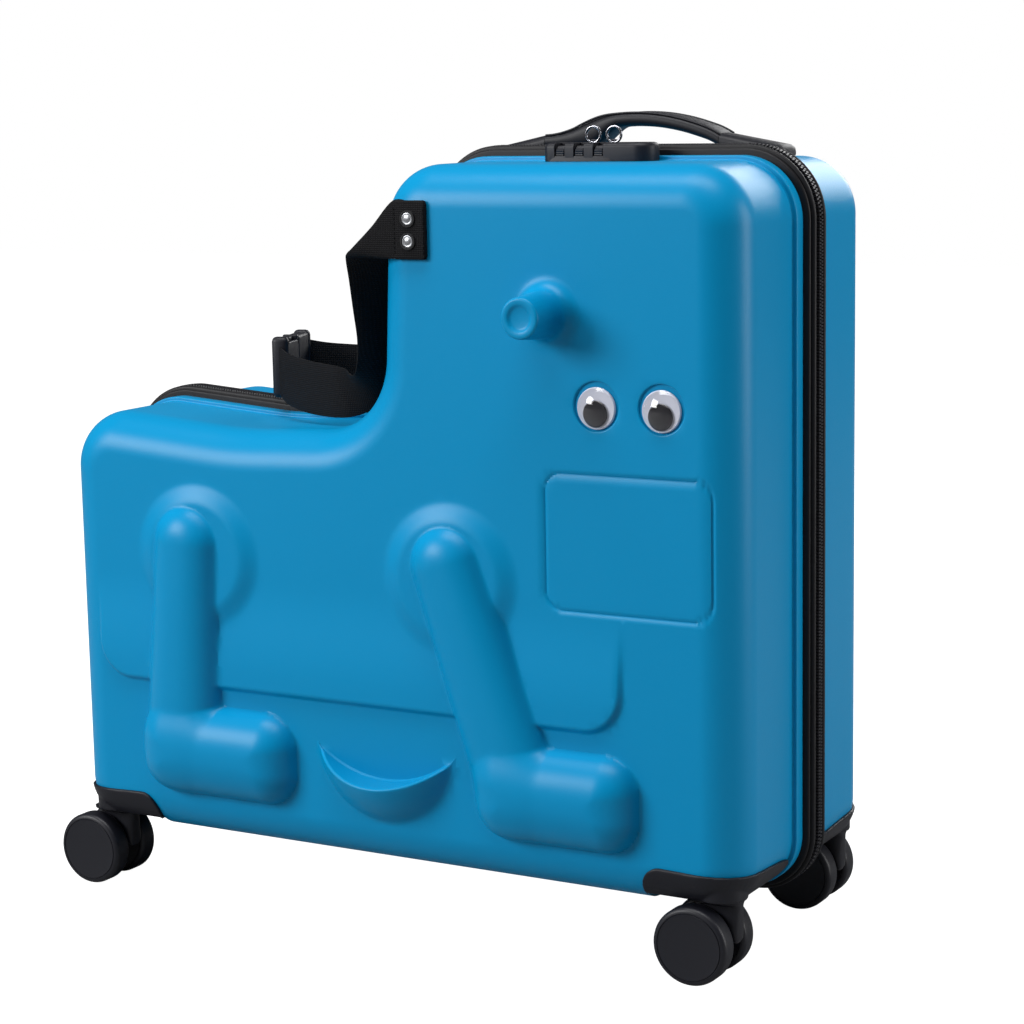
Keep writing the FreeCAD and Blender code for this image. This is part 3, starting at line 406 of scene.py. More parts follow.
def knob_profile():
    """Radius and height of the knob, from its foot to the middle of its dished end."""
    flare = arc((KNOB_WAIST + KNOB_FLARE, KNOB_FLARE), KNOB_FLARE, 270, 180, 10)
    crest = arc((KNOB_END - KNOB_ROUND, KNOB_LENGTH - KNOB_ROUND), KNOB_ROUND, 0, 90, 5)
    inner = KNOB_END - KNOB_ROUND - KNOB_RIM
    floor = KNOB_LENGTH - KNOB_DISH
    dish = [(inner, KNOB_LENGTH), (inner - KNOB_DISH / 2, KNOB_LENGTH - KNOB_DISH / 4)]
    dish += [(inner - KNOB_DISH, floor + KNOB_DISH / 4), (inner - 2 * KNOB_DISH, floor), (0, floor)]
    return flare + crest + dish


def seat_profile():
    """Radius and height of the shallow round seat of an eye."""
    rim = arc((EYE_SEAT + EYE_ROUND, -EYE_ROUND), EYE_ROUND, 90, 180, 4)
    return rim + [(EYE_SEAT, -EYE_SEAT_DEPTH), (0, -EYE_SEAT_DEPTH)]


EYE_Z = centre_of("front_eye_plates")[2]
EYE_PLACES = [(centre_of("front_%s_pupil" % end)[0], EYE_Z) for end in ("tail", "head")]
PATCH_STEPS = 72


def round_patch(x, z, profile):
    """A turned patch on the face: rings from its foot to its middle."""
    return lathe(profile, (x, FACE_Y, z), (0, -1, 0), PATCH_STEPS)


# Crescent footrest: a ball form, scooped out from above

STEP_X, STEP_Z, STEP_RADIUS, STEP_RISE = 0.002, 0.127, 0.062, 0.027
SCOOP_RADIUS, SCOOP_Z = 0.080, 0.184
STEP_ROOT, STEP_RIM, STEP_SKIRT = 0.0012, 0.0016, 0.0024
STEP_COLUMNS, STEP_ROWS, STEP_THIN_SHARE = 96, 22, 0.2


def ball_height(x, z):
    """Height of the ball form, running on below the face outside it."""
    sink = STEP_RADIUS - STEP_RISE
    away = np.hypot(x - STEP_X, z - STEP_Z)
    foot = math.sqrt(STEP_RADIUS ** 2 - sink ** 2)
    inside = np.sqrt(np.maximum(STEP_RADIUS ** 2 - away ** 2, 0)) - sink
    return np.where(away < foot, inside, -(away - foot) * SKIRT / 2)


def crescent_columns():
    """Points of the crescent's lower and upper edge on the face, from its tail tip to its head tip."""
    low_radius = math.sqrt(STEP_RADIUS ** 2 - (STEP_RADIUS - STEP_RISE) ** 2) + STEP_SKIRT
    high_radius = SCOOP_RADIUS - STEP_ROOT
    apart = SCOOP_Z - STEP_Z
    tip_up = (low_radius ** 2 - high_radius ** 2 + apart ** 2) / (2 * apart)
    tip_out = math.sqrt(low_radius ** 2 - tip_up ** 2)
    shares = np.linspace(-1, 1, STEP_COLUMNS + 1)
    low_turn = shares * math.atan2(tip_out, -tip_up)
    high_turn = shares * math.atan2(tip_out, apart - tip_up)
    edges = []
    for radius, turn, z in ((low_radius, low_turn, STEP_Z), (high_radius, high_turn, SCOOP_Z)):
        edges.append(np.column_stack((STEP_X + radius * np.sin(turn), z - radius * np.cos(turn))))
    return edges


def crescent_rows():
    """The footrest, row by row: up the ball from the face, over the rim and down its upper side."""
    lower, upper = crescent_columns()
    span = lower - upper
    reach = np.linalg.norm(span, axis=1)
    way = span / np.maximum(reach, MERGE / 1000)[:, None]
    root = np.minimum(STEP_ROOT, reach * STEP_THIN_SHARE)
    rim = np.minimum(STEP_RIM, reach * STEP_THIN_SHARE)

    def row(places, heights):
        return np.column_stack((places[:, 0], FACE_Y - heights, places[:, 1]))

    crest = upper + way * (root + rim)[:, None]
    fade = np.where(reach < MERGE, 0, np.clip(reach / STEP_SKIRT, 0, 1))
    rows = []
    for share in np.linspace(0, 1, STEP_ROWS):
        places = lower + (crest - lower) * share
        ball = ball_height(places[:, 0], places[:, 1])
        rows.append(row(places, fade * soft_max(ball, 0 * reach, ROOT_BLEND)))
    rows[0][:, 1] = FACE_Y
    top = FACE_Y - rows[-1][:, 1]
    rim = np.minimum(rim, top / 2)
    for turn in np.radians(np.linspace(15, 90, 6)):
        places = upper + way * (root + rim * (1 - math.sin(turn)))[:, None]
        rows.append(row(places, top - rim * (1 - math.cos(turn))))
    side = top - rim
    root_height = np.minimum(root, side / 2)
    for share in (0.75, 0.5, 0.25):
        rows.append(row(upper + way * root[:, None], root_height + (side - root_height) * share))
    for turn in np.radians(np.linspace(0, 90, 5)):
        places = upper + way * (root * (1 - math.sin(turn)))[:, None]
        rows.append(row(places, root_height * (1 - np.sin(turn))))
    return rows


# Face of a half shell, meshed more finely where the relief bends

FACE_FINE, FACE_COARSE_EVERY, FACE_BEND = 0.0013, 4, 0.00003
FACE_CLEAR = 0.0011
FILLET_STEPS, FILLET_RELIEF_TURN, SIDE_ROWS = 56, 0.5, 8


def inside_loop(points, loop):
    """Which points lie inside a closed loop, by counting its crossings."""
    inside = np.zeros(len(points), bool)
    for (x0, z0), (x1, z1) in zip(loop, np.roll(loop, -1, axis=0)):
        if z0 == z1:
            continue
        crosses = (points[:, 1] < z0) != (points[:, 1] < z1)
        inside ^= crosses & (points[:, 0] < x0 + (points[:, 1] - z0) * (x1 - x0) / (z1 - z0))
    return inside


def clear_of(points, loops):
    """Which points keep clear of every loop."""
    marks = np.concatenate(loops)
    tree = kdtree.KDTree(len(marks))
    for index, (x, z) in enumerate(marks):
        tree.insert((x, 0, z), index)
    tree.balance()
    return np.array([tree.find((x, 0, z))[2] > FACE_CLEAR for x, z in points])


def face_lattice():
    """Places on the face: a wide lattice, and a fine one where the relief bends."""
    across = np.arange(TAIL, HEAD, FACE_FINE)
    up = np.arange(FLOOR, TOP, FACE_FINE)
    x, z = np.meshgrid(across, up)
    height = relief(x, z)
    bend = np.zeros_like(height)
    around = height[:-2, 1:-1] + height[2:, 1:-1] + height[1:-1, :-2] + height[1:-1, 2:]
    bend[1:-1, 1:-1] = np.abs(around - 4 * height[1:-1, 1:-1])
    coarse = np.zeros_like(height, bool)
    coarse[::FACE_COARSE_EVERY, ::FACE_COARSE_EVERY] = True
    middle = np.zeros_like(height, bool)
    middle[::2, ::2] = bend[::2, ::2] > FACE_BEND / 3
    keep = coarse | middle | (bend > FACE_BEND)
    return np.column_stack((x[keep], z[keep]))


def face_mesh(edge, holes):
    """Triangles of the face between its edge and its holes, which are loops of places."""
    loops = [edge] + holes
    points = face_lattice()
    points = points[inside_loop(points, edge)]
    for hole in holes:
        points = points[~inside_loop(points, hole)]
    points = points[clear_of(points, loops)]
    constraints = []
    start = 0
    for loop in loops:
        count = len(loop)
        constraints += [(start + index, start + (index + 1) % count) for index in range(count)]
        start += count
    places = np.concatenate(loops + [points])
    found = delaunay_2d_cdt([Vector(place) for place in places], constraints, [], 0, THIN)
    corners = np.array([tuple(place) for place in found[0]])
    faces = np.array(found[2])
    middles = corners[faces].mean(axis=1)
    keep = inside_loop(middles, edge)
    for hole in holes:
        keep &= ~inside_loop(middles, hole)
    verts = np.column_stack((corners[:, 0], FACE_Y - relief(corners[:, 0], corners[:, 1]), corners[:, 1]))
    return verts, faces[keep]


def fillet_rings():
    """The round edge between the sides and the face, carrying what relief reaches it."""
    rings = []
    for turn in np.linspace(0, math.pi / 2, FILLET_STEPS + 1)[1:]:
        flat = ring(FACE_Y + FACE_RADIUS * (1 - math.sin(turn)), FACE_RADIUS * math.cos(turn) - FLAT_INSET)
        height = relief(flat[:, 0], flat[:, 2]) * smoothstep(turn / FILLET_RELIEF_TURN - 1)
        slope = np.column_stack((math.cos(turn) * OUTWARD[:, 0], np.full(len(flat), -math.sin(turn)),
                                 math.cos(turn) * OUTWARD[:, 1]))
        rings.append(flat + slope * height[:, None])
    return rings


def near_shell():
    """The near half shell's outer form, closed across its mouth: lip, side, round edge and relief face."""
    form = Form()
    lip_end = MOUTH_Y - LIP_WIDTH
    lip = [(MOUTH_Y, -LIP_PROUD - WALL)]
    lip += arc((MOUTH_Y - LIP_ROUND, -LIP_ROUND), LIP_ROUND, 0, 90, 4)
    lip += arc((lip_end + LIP_ROUND, -LIP_ROUND), LIP_ROUND, 90, 180, 4)
    lip += arc((lip_end - LIP_ROUND, LIP_ROUND - LIP_PROUD), LIP_ROUND, 360, 270, 4)
    side = np.linspace(lip_end - 2 * LIP_ROUND, FACE_Y + FACE_RADIUS, SIDE_ROWS)
    lip += [(y, -LIP_PROUD) for y in side]
    form.rings(swept(lip) + fillet_rings())
    form.add(ring(MOUTH_Y, -LIP_PROUD - WALL), [tuple(range(len(OUTLINE)))])
    edge = ring(FACE_Y, -FLAT_INSET)[:, [0, 2]]
    knob = round_patch(KNOB_X, KNOB_Z, knob_profile())
    seats = [round_patch(x, z + EYE_SEAT_RISE, seat_profile()) for x, z in EYE_PLACES]
    step = crescent_rows()
    crescent_loop = np.concatenate((step[0], step[-1][-2:0:-1]))
    holes = [rows[0][:, [0, 2]] for rows in [knob] + seats] + [crescent_loop[:, [0, 2]]]
    form.add(*face_mesh(edge, holes))
    for rows in [knob] + seats:
        form.rings(rows)
    form.rings(step, closed=False)
    return form


def smooth_half(mouth_y, out, start_y, radius, steps):
    """A closed form of the near half without relief: straight from its mouth, then round to its face."""
    profile = [(mouth_y, out), (start_y, out)]
    for turn in np.linspace(0, math.pi / 2, steps + 1)[1:]:
        profile.append((start_y - radius * math.sin(turn), out - radius * (1 - math.cos(turn))))
    return Form().rings(swept(profile), caps=True)


def near_space(shrink, mouth_y):
    """The space inside the near half shell, made smaller all round by some distance."""
    start_y = FACE_Y + FACE_RADIUS + shrink
    return smooth_half(mouth_y, -LIP_PROUD - WALL - shrink, start_y, FACE_RADIUS - WALL, 8)


def near_solid(out):
    """The whole near half, grown by some distance."""
    return smooth_half(MOUTH_Y, out - LIP_PROUD, FACE_Y + FACE_RADIUS, FACE_RADIUS + out, 12)


def block(low, high, edge, segments=3):
    """A box with round edges."""
    low, high = np.array(low, float), np.array(high, float)
    work = bmesh.new()
    bmesh.ops.create_cube(work, size=1)
    for vert in work.verts:
        vert.co = Vector((low + high) / 2 + np.array(vert.co) * (high - low))
    bmesh.ops.bevel(work, geom=work.edges[:], offset=edge, segments=segments, profile=0.5, affect="EDGES")
    return form_of(work)


def form_of(work):
    """The form of a bmesh, which is then let go."""
    work.verts.index_update()
    faces = [[vert.index for vert in face.verts] for face in work.faces]
    made = Form().add([vert.co for vert in work.verts], faces)
    work.free()
    return made


def joined(*forms):
    """One form of several."""
    made = Form()
    for form in forms:
        made.add(form.verts, form.faces)
    return made


def inset_loop(loop, distance):
    """A closed loop of plane points, moved inwards along its normals."""
    along = np.roll(loop, -1, axis=0) - np.roll(loop, 1, axis=0)
    along /= np.linalg.norm(along, axis=1)[:, None]
    inward = np.column_stack((-along[:, 1], along[:, 0]))
    area = np.sum(loop[:, 0] * np.roll(loop[:, 1], -1) - np.roll(loop[:, 0], -1) * loop[:, 1])
    return loop + inward * distance * (1 if area > 0 else -1)


def plate(loop, low, high, low_edge, high_edge, place, steps=4):
    """A flat piece with round edges: a loop of plane points, from one height to another."""
    rings = []
    turns = np.linspace(0, math.pi / 2, steps + 1)
    for start, edge, way, course in ((low, low_edge, 1, turns), (high, high_edge, -1, turns[::-1])):
        for turn in course:
            height = start + way * edge * (1 - math.cos(turn))
            flat = inset_loop(loop, edge * (1 - math.sin(turn)))
            rings.append(np.array([place(a, b, height) for a, b in flat]))
    return Form().rings(rings, caps=True)


def rounded_loop(low, high, radius, steps=6):
    """A rectangle with round corners, as plane points."""
    left, right, bottom, top = low[0] + radius, high[0] - radius, low[1] + radius, high[1] - radius
    points = []
    for index, centre in enumerate(((right, top), (left, top), (left, bottom), (right, bottom))):
        points += arc(centre, radius, 90 * index, 90 * index + 90, steps)
    return np.array(points)


def smooth_path(points, steps):
    """Points on a smooth curve through some points."""
    points = np.array(points, float)
    padded = np.vstack((2 * points[0] - points[1], points, 2 * points[-1] - points[-2]))
    places = np.linspace(0, len(points) - 1, steps + 1)
    first = np.minimum(places.astype(int), len(points) - 2)
    share = (places - first)[:, None]
    a, b, c, d = (padded[first + offset] for offset in range(4))
    return 0.5 * (2 * b + (c - a) * share + (2 * a - 5 * b + 4 * c - d) * share ** 2
                  + (3 * b - a - 3 * c + d) * share ** 3)


def tube(path, radius, closed=False, steps=12):
    """A round rod along a path of points."""
    path = np.array(path, float)
    ahead = np.roll(path, -1, axis=0) - np.roll(path, 1, axis=0)
    if not closed:
        ahead[0], ahead[-1] = path[1] - path[0], path[-1] - path[-2]
    side = np.array([0.0, 0.0, 1.0]) if abs(unit(ahead[0])[2]) < 0.9 else np.array([1.0, 0.0, 0.0])
    rings = []
    for spot, way in zip(path, ahead):
        way = unit(way)
        side = unit(side - way * (side @ way))
        other = np.cross(way, side)
        turns = np.arange(steps) / steps * math.tau
        rings.append(spot + radius * (np.outer(np.cos(turns), side) + np.outer(np.sin(turns), other)))
    return Form().rings(rings, wrap=closed, caps=not closed)


# Finishes

WEAVE_SHINE, WEAVE_WOBBLE, WAVE_SCALE = 0.15, 0.6, 20
CLEAR_ROUGH, CLEAR_BLEND, CLEAR_SHARES = 0.04, 0.2, (0.015, 0.35)


def set_inputs(node, **values):
    """Sets a shader node's inputs, named with underscores for spaces."""
    for name, value in values.items():
        node.inputs[name.replace("_", " ")].default_value = value


def shader_node(tree, kind, **values):
    """A new shader node and its inputs."""
    made = tree.nodes.new("ShaderNode" + kind)
    set_inputs(made, **values)
    return made


def mixed(tree, share, first, second, output):
    """Mixes two shaders by a share and leads them to an output."""
    mix = shader_node(tree, "MixShader")
    for source, place in zip((share, first, second), mix.inputs):
        tree.links.new(source, place)
    tree.links.new(mix.outputs["Shader"], tree.nodes[output].inputs["Surface"])


def finish_of(name, colour, rough, grain=None, metallic=0, rough_spread=0, shine=0.5):
    """A procedural finish; its grain is a size and a depth in metres."""
    made = bpy.data.materials.new(name)
    made.use_nodes = True
    tree = made.node_tree
    link = tree.links.new
    shader = tree.nodes["Principled BSDF"]
    set_inputs(shader, Base_Color=(*colour, 1), Roughness=rough, Metallic=metallic, Specular_IOR_Level=shine)
    if grain is None:
        return made
    noise = shader_node(tree, "TexNoise", Scale=1 / grain[0], Detail=2)
    link(shader_node(tree, "TexCoord").outputs["Object"], noise.inputs["Vector"])
    bump = shader_node(tree, "Bump", Distance=grain[1])
    link(noise.outputs[0], bump.inputs["Height"])
    link(bump.outputs["Normal"], shader.inputs["Normal"])
    if rough_spread:
        spread = shader_node(tree, "MapRange", To_Min=rough - rough_spread, To_Max=rough + rough_spread)
        link(noise.outputs[0], spread.inputs["Value"])
        link(spread.outputs["Result"], shader.inputs["Roughness"])
    return made


def woven(name, dark, light, rough, pitch, depth):
    """Cloth with crossing threads."""
    made = finish_of(name, dark, rough, shine=WEAVE_SHINE)
    tree = made.node_tree
    link = tree.links.new
    shader = tree.nodes["Principled BSDF"]
    place = shader_node(tree, "TexCoord")
    cross = shader_node(tree, "Math")
    cross.operation = "MULTIPLY"
    for index, way in enumerate("XZ"):
        wave = shader_node(tree, "TexWave", Scale=math.tau / WAVE_SCALE / pitch, Distortion=WEAVE_WOBBLE)
        wave.bands_direction = way
        link(place.outputs["Object"], wave.inputs["Vector"])
        link(wave.outputs["Fac"], cross.inputs[index])
    bump = shader_node(tree, "Bump", Distance=depth)
    link(cross.outputs["Value"], bump.inputs["Height"])
    link(bump.outputs["Normal"], shader.inputs["Normal"])
    mix = shader_node(tree, "Mix")
    mix.data_type = "RGBA"
    set_inputs(mix, A=(*dark, 1), B=(*light, 1))
    link(cross.outputs["Value"], mix.inputs["Factor"])
    link(mix.outputs["Result"], shader.inputs["Base Color"])
    return made


def clear_finish(name):
    """Clear plastic: see-through, with a sharp shine that grows towards its edge."""
    made = bpy.data.materials.new(name)
    made.use_nodes = True
    tree = made.node_tree
    tree.nodes.remove(tree.nodes["Principled BSDF"])
    through = shader_node(tree, "BsdfTransparent")
    shine = shader_node(tree, "BsdfGlossy", Roughness=CLEAR_ROUGH)
    edge = shader_node(tree, "LayerWeight", Blend=CLEAR_BLEND)
    weight = shader_node(tree, "MapRange", To_Min=CLEAR_SHARES[0], To_Max=CLEAR_SHARES[1])
    tree.links.new(edge.outputs["Facing"], weight.inputs["Value"])
    mixed(tree, weight.outputs["Result"], through.outputs["BSDF"], shine.outputs["BSDF"], "Material Output")
    return made


BLUE = finish_of("satin_blue", srgb(0, 132, 182), 0.35, (0.0007, 0.00005), rough_spread=0.05, shine=0.17)
RUBBER = finish_of("black_edging", srgb(14, 14, 18), 0.5, (0.0009, 0.00004), shine=0.25)
PLASTIC = finish_of("black_plastic", srgb(18, 19, 27), 0.48, (0.0008, 0.00005), shine=0.3)
GRIP = finish_of("handle_rubber", srgb(19, 20, 27), 0.5, (0.0008, 0.00005), shine=0.3)
TYRE = finish_of("wheel_plastic", srgb(18, 19, 27), 0.45, (0.0008, 0.00003), shine=0.35)
STEEL = finish_of("rivet_steel", srgb(150, 152, 156), 0.35, (0.0012, 0.00003), metallic=1)
SLIDER = finish_of("slider_metal", srgb(52, 52, 56), 0.35, (0.0010, 0.00002), metallic=1)
CHROME = finish_of("ring_chrome", srgb(158, 159, 166), 0.2, (0.002, 0.00001), metallic=1)
WEBBING = woven("webbing", srgb(9, 9, 11), srgb(24, 24, 28), 0.75, 0.0013, 0.00035)
TAPE = woven("zip_cloth", srgb(8, 8, 10), srgb(20, 20, 24), 0.8, 0.0007, 0.0002)
CLOTH = woven("lining_cloth", srgb(108, 112, 120), srgb(138, 142, 150), 0.85, 0.0009, 0.0001)
EYE_WHITE = finish_of("eye_white", srgb(205, 208, 222), 0.3, (0.002, 0.00001))
PUPIL = finish_of("pupil_dark", srgb(16, 15, 24), 0.3, (0.002, 0.00001))
CLEAR = clear_finish("eye_clear")


# Shells with their wheel wells, linings, edging and zip

WELL_RADIUS, WELL_LOW, WELL_TOP = 0.047, -0.02, 0.057
LINING_GAP = 0.0004


def swivel(half, end):
    return np.array(joints["%s_%s_swivel" % (half, end)]["pos_m"])


def well(half, end, wider):
    """A round well over a caster, open downwards."""
    return pillar(WELL_RADIUS + wider, WELL_LOW, WELL_TOP + wider, swivel(half, end)[:2])


def as_object(item):
    """An unfinished object for a form; an object stays as it is."""
    if isinstance(item, bpy.types.Object):
        return item
    return linked("form", mesh_of("form", item, THIN, split=True))


def combined(first, *others, operation="DIFFERENCE"):
    """An object for a form or an object, joined with others or cut by them."""
    made = as_object(first)
    tools = [as_object(item) for item in others]
    for tool in tools:
        modifier = made.modifiers.new("join", "BOOLEAN")
        modifier.object = tool
        modifier.operation = operation
        modifier.solver = "MANIFOLD"
    bpy.context.view_layer.update()
    baked(made)
    for tool in tools:
        bpy.data.objects.remove(tool)
    return made


def mesh_alone(made):
    """The mesh of an object, which is then let go."""
    mesh = made.data
    bpy.data.objects.remove(made)
    return mesh


outer = near_shell()
for half in HALVES:
    space = combined(near_space(0, MOUTH_Y + WALL).on(half), *[well(half, end, WALL) for end in ENDS])
    shell = mesh_alone(combined(outer.on(half), *[well(half, end, 0) for end in ENDS], space))
    dressed("%s_half_shell" % half, shell, BLUE, half + "_case", ["%s_shell" % half], sharp=40)


def rounded_off(made, grain, passes):
    """Rounds off the edges of a piece."""
    remesh = made.modifiers.new("remesh", "REMESH")
    remesh.mode = "VOXEL"
    remesh.voxel_size = grain
    made.modifiers.new("smooth", "SMOOTH").iterations = passes
    bpy.context.view_layer.update()
    baked(made)
    made.data.shade_smooth()
    return made


BEAD_Y, CROWN_Y, TAPE_Y, SEAM_Y = MOUTH_Y, -0.0093, trim_high.y, -0.00015
TRIM_DEPTH, BEAD_PROUD, CROWN_TOP, CROWN_WIDE = 0.0045, 0.0042, 0.0066, 0.0034
TAPE_PROUD, TAPE_DEPTH, TAPE_BEVEL = 0.0060, 0.003, 0.001
TAPE_EDGE_Y, TAPE_EDGE_RUN = -0.0022, 0.0004
TAPE_LOW_SHARE, TAPE_FLAT_SHARE, TOOTH_ROOT_SHARE, TOOTH_CREST_SHARE = 0.6, 0.8, 0.7, 0.8
TOOTH_PITCH, TOOTH_LONG, TOOTH_WIDE, TOOTH_PROUD = 0.0021, 0.0012, 0.0034, 0.0069
HINGE_MARGIN, HINGE_DEPTH = 0.006, 0.01


def near_trim():
    """Double-bead edging in section: a low bead by the shell and a higher one by the zip."""
    bead = (CROWN_Y - BEAD_Y) / 2
    crown = CROWN_WIDE / 2
    profile = [(BEAD_Y, -TRIM_DEPTH)]
    profile += arc((BEAD_Y + bead, BEAD_PROUD - bead), bead, 180, 20, 8)
    profile += arc((CROWN_Y + crown, CROWN_TOP - crown), crown, 180, 0, 8)
    profile += [(TAPE_Y, CROWN_TOP / 3), (TAPE_Y, -TRIM_DEPTH)]
    return Form().rings(swept(profile), wrap=True)


def near_tape():
    """Zip tape in section, with a raised edge towards the seam."""
    low, flat = TAPE_PROUD * TAPE_LOW_SHARE, TAPE_PROUD * TAPE_FLAT_SHARE
    profile = [(TAPE_Y, -TAPE_DEPTH), (TAPE_Y, low), (TAPE_Y + TAPE_BEVEL, flat), (TAPE_EDGE_Y, flat)]
    profile += [(TAPE_EDGE_Y + TAPE_EDGE_RUN, TAPE_PROUD), (SEAM_Y, TAPE_PROUD), (SEAM_Y, -TAPE_DEPTH)]
    return Form().rings(swept(profile), wrap=True)


def along_outline(pitch):
    """Places at even steps along the outline, with the outward normal at each."""
    loop = np.vstack((OUTLINE, OUTLINE[:1]))
    ways = np.vstack((OUTWARD, OUTWARD[:1]))
    runs = np.concatenate(([0], np.cumsum(np.linalg.norm(np.diff(loop, axis=0), axis=1))))
    at = np.arange(int(runs[-1] / pitch)) * pitch
    spots = np.column_stack([np.interp(at, runs, loop[:, axis]) for axis in (0, 1)])
    outs = np.column_stack([np.interp(at, runs, ways[:, axis]) for axis in (0, 1)])
    return spots, outs / np.linalg.norm(outs, axis=1)[:, None]


def near_teeth(offset):
    """Teeth of the zip along one tape, left out where the cloth hinge is."""
    form = Form()
    hinge_low, hinge_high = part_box("hinge_tape")
    root, crest_y = TAPE_PROUD * TOOTH_ROOT_SHARE, SEAM_Y - TOOTH_WIDE * TOOTH_CREST_SHARE
    section = [(SEAM_Y - TOOTH_WIDE, root), (crest_y, TOOTH_PROUD), (SEAM_Y, TOOTH_PROUD), (SEAM_Y, root)]
    spots, outs = along_outline(TOOTH_PITCH)
    for (x, z), out in zip(spots, outs):
        if x < TAIL + HINGE_DEPTH and hinge_low.z - HINGE_MARGIN < z < hinge_high.z + HINGE_MARGIN:
            continue
        along = np.array([-out[1], out[0]])
        corners = []
        for y, proud in section:
            for side in (-1, 1):
                spot = np.array([x, z]) + out * proud + along * (side * TOOTH_LONG / 2 + offset)
                corners.append((spot[0], y, spot[1]))
        form.add(corners, [(0, 1, 3, 2), (2, 3, 5, 4), (4, 5, 7, 6), (0, 2, 4, 6), (1, 3, 5, 7)])
    return form


for index, half in enumerate(HALVES):
    body = half + "_case"
    edging, tape = near_trim().on(half), near_tape().on(half)
    teeth = near_teeth(index * TOOTH_PITCH / 2).on(half)
    piece("%s_edging" % half, edging, RUBBER, body, ["%s_edge_trim" % half], sharp=60)
    piece("%s_zip_band" % half, tape, TAPE, body, ["%s_zip_tape" % half], sharp=40)
    piece("%s_zip_teeth" % half, teeth, PLASTIC, body, sharp=30)


# Casters

WHEEL_BEVEL, WHEEL_STEPS = 0.0032, 96
# Radius as a share of the wheel's, and depth below its rim
WHEEL_FACE_SHARES = [(0, 0.0004), (0.74, 0.0002), (0.84, 0), (0.85, 0.0005), (0.865, 0.0005)]
FORK_LEAD, FORK_TRAIL, FORK_TOP_HALF = 0.0135, 0.0200, 0.0095
FORK_HALF, FORK_TIP_Z, FORK_TOP_Z = 0.0066, 0.0255, 0.0526
FORK_SECTION_STEPS, FORK_POWER = 40, 3.2
# From the top down: shares of its height, of its reach ahead and of its reach behind, and half its width
FORK_SHARES = [(1, 1, 1, FORK_TOP_HALF), (0.94, 1, 0.98, FORK_TOP_HALF), (0.88, 0.99, 0.92, FORK_HALF),
               (0.75, 0.98, 0.72, FORK_HALF), (0.5, 0.97, 0.32, FORK_HALF), (0.25, 0.96, -0.08, FORK_HALF),
               (0.08, 0.92, -0.36, FORK_HALF * 0.85), (0, 0.84, -0.46, FORK_HALF * 0.5)]
ARM_HALF, ARM_EDGE, ARM_TOP_SHARE, ARM_WIDE_SHARE = 0.0075, 0.0008, 0.82, 0.95


def wheel_profile(half_width, radius):
    """Radius and place along the axle of a disc wheel with a line round each face."""
    face = [(share * radius, half_width - depth) for share, depth in WHEEL_FACE_SHARES]
    face += arc((radius - WHEEL_BEVEL, half_width - WHEEL_BEVEL), WHEEL_BEVEL, 90, 0, 6)
    return face + [(r, -along) for r, along in reversed(face)]


def oval(x_low, x_high, y_half, z):
    """A level ring, between an ellipse and a rectangle."""
    along, across = squircle(FORK_POWER, FORK_SECTION_STEPS)
    x = along * (x_high - x_low) / 2 + (x_low + x_high) / 2
    return np.column_stack((x, across * y_half, np.full(len(x), z)))


def fork_form(half, end):
    """The swivelling fork: a shield that tapers to a point between the wheels, and the arm to the axle."""
    x, y, _ = swivel(half, end)
    axle = np.array(joints["%s_%s_wheel_outer_spin" % (half, end)]["pos_m"])
    rings = []
    for share, lead, trail, wide in FORK_SHARES:
        z = FORK_TIP_Z + share * (FORK_TOP_Z - FORK_TIP_Z)
        rings.append(oval(x - FORK_TRAIL * trail, x + FORK_LEAD * lead, wide, z) + np.array([0, y, 0]))
    loop = bar_loop((x, 2 * axle[2] * ARM_TOP_SHARE), (axle[0], axle[2]), ARM_HALF)
    wide = FORK_HALF * ARM_WIDE_SHARE
    arm = plate(loop, -wide, wide, ARM_EDGE, ARM_EDGE, lambda a, b, height: (a, y + height, b))
    return joined(Form().rings(rings, caps=True), arm)


def bar_loop(start, end, half, steps=14):
    """A round-ended bar as plane points."""
    start, end = np.array(start, float), np.array(end, float)
    heading = math.degrees(math.atan2(*(end - start)[::-1]))
    front = arc(end, half, heading - 90, heading + 90, steps)
    return np.array(front + arc(start, half, heading + 90, heading + 270, steps))


# Corner wings: the case's skin, thickened inside an outline seen from the side and one seen from the end

WING_THICK, WING_SUNK, WING_GRAIN, WING_PASSES = 0.0022, 0.0010, 0.0007, 6
WING_TOP, WING_DIP, WING_LOW, PLATE_LOW = 0.0720, 0.0705, 0.0415, 0.0530
WING_ROUND, WING_END = 0.0130, 0.0686
BOSS_RADIUS, BOSS_TOP = 0.0160, 0.0680
# Places of the outline's corners, from the swivel, from the end of the case or from the inner end
DIP_AHEAD, PLATE_BEHIND, NOTCH_BEHIND, NOTCH_DROP = 0.008, 0.010, 0.020, 0.003
END_RUN, FINGER_RUN, TOE_RUN = 0.010, 0.020, 0.018
COOKIE_OUT, COOKIE_IN = 0.02, 0.004
PLATE_GAP, PLATE_TOP_GAP, PLATE_OUT_SHARE = 0.0004, 0.0002, 0.9
# From the near face towards the seam: place along Y and height of the finger's edge
FINGER = [(-0.112, 0.0705), (-0.092, 0.0700), (-0.078, 0.0690), (-0.054, 0.0672), (-0.036, 0.0658),
          (-0.0265, 0.0640), (-0.0232, 0.0608), (-0.0240, 0.0572), (-0.0290, 0.0540), (-0.047, 0.0520),
          (-0.112, 0.0520)]


def prism(loop, low, high, axis):
    """A plane loop drawn out along X or along Y."""
    loop = np.array(loop)
    ends = []
    for along in (low, high):
        flat = np.full(len(loop), along)
        ends.append(np.column_stack((flat, loop) if axis == "X" else (loop[:, 0], flat, loop[:, 1])))
    return Form().rings(ends, caps=True)


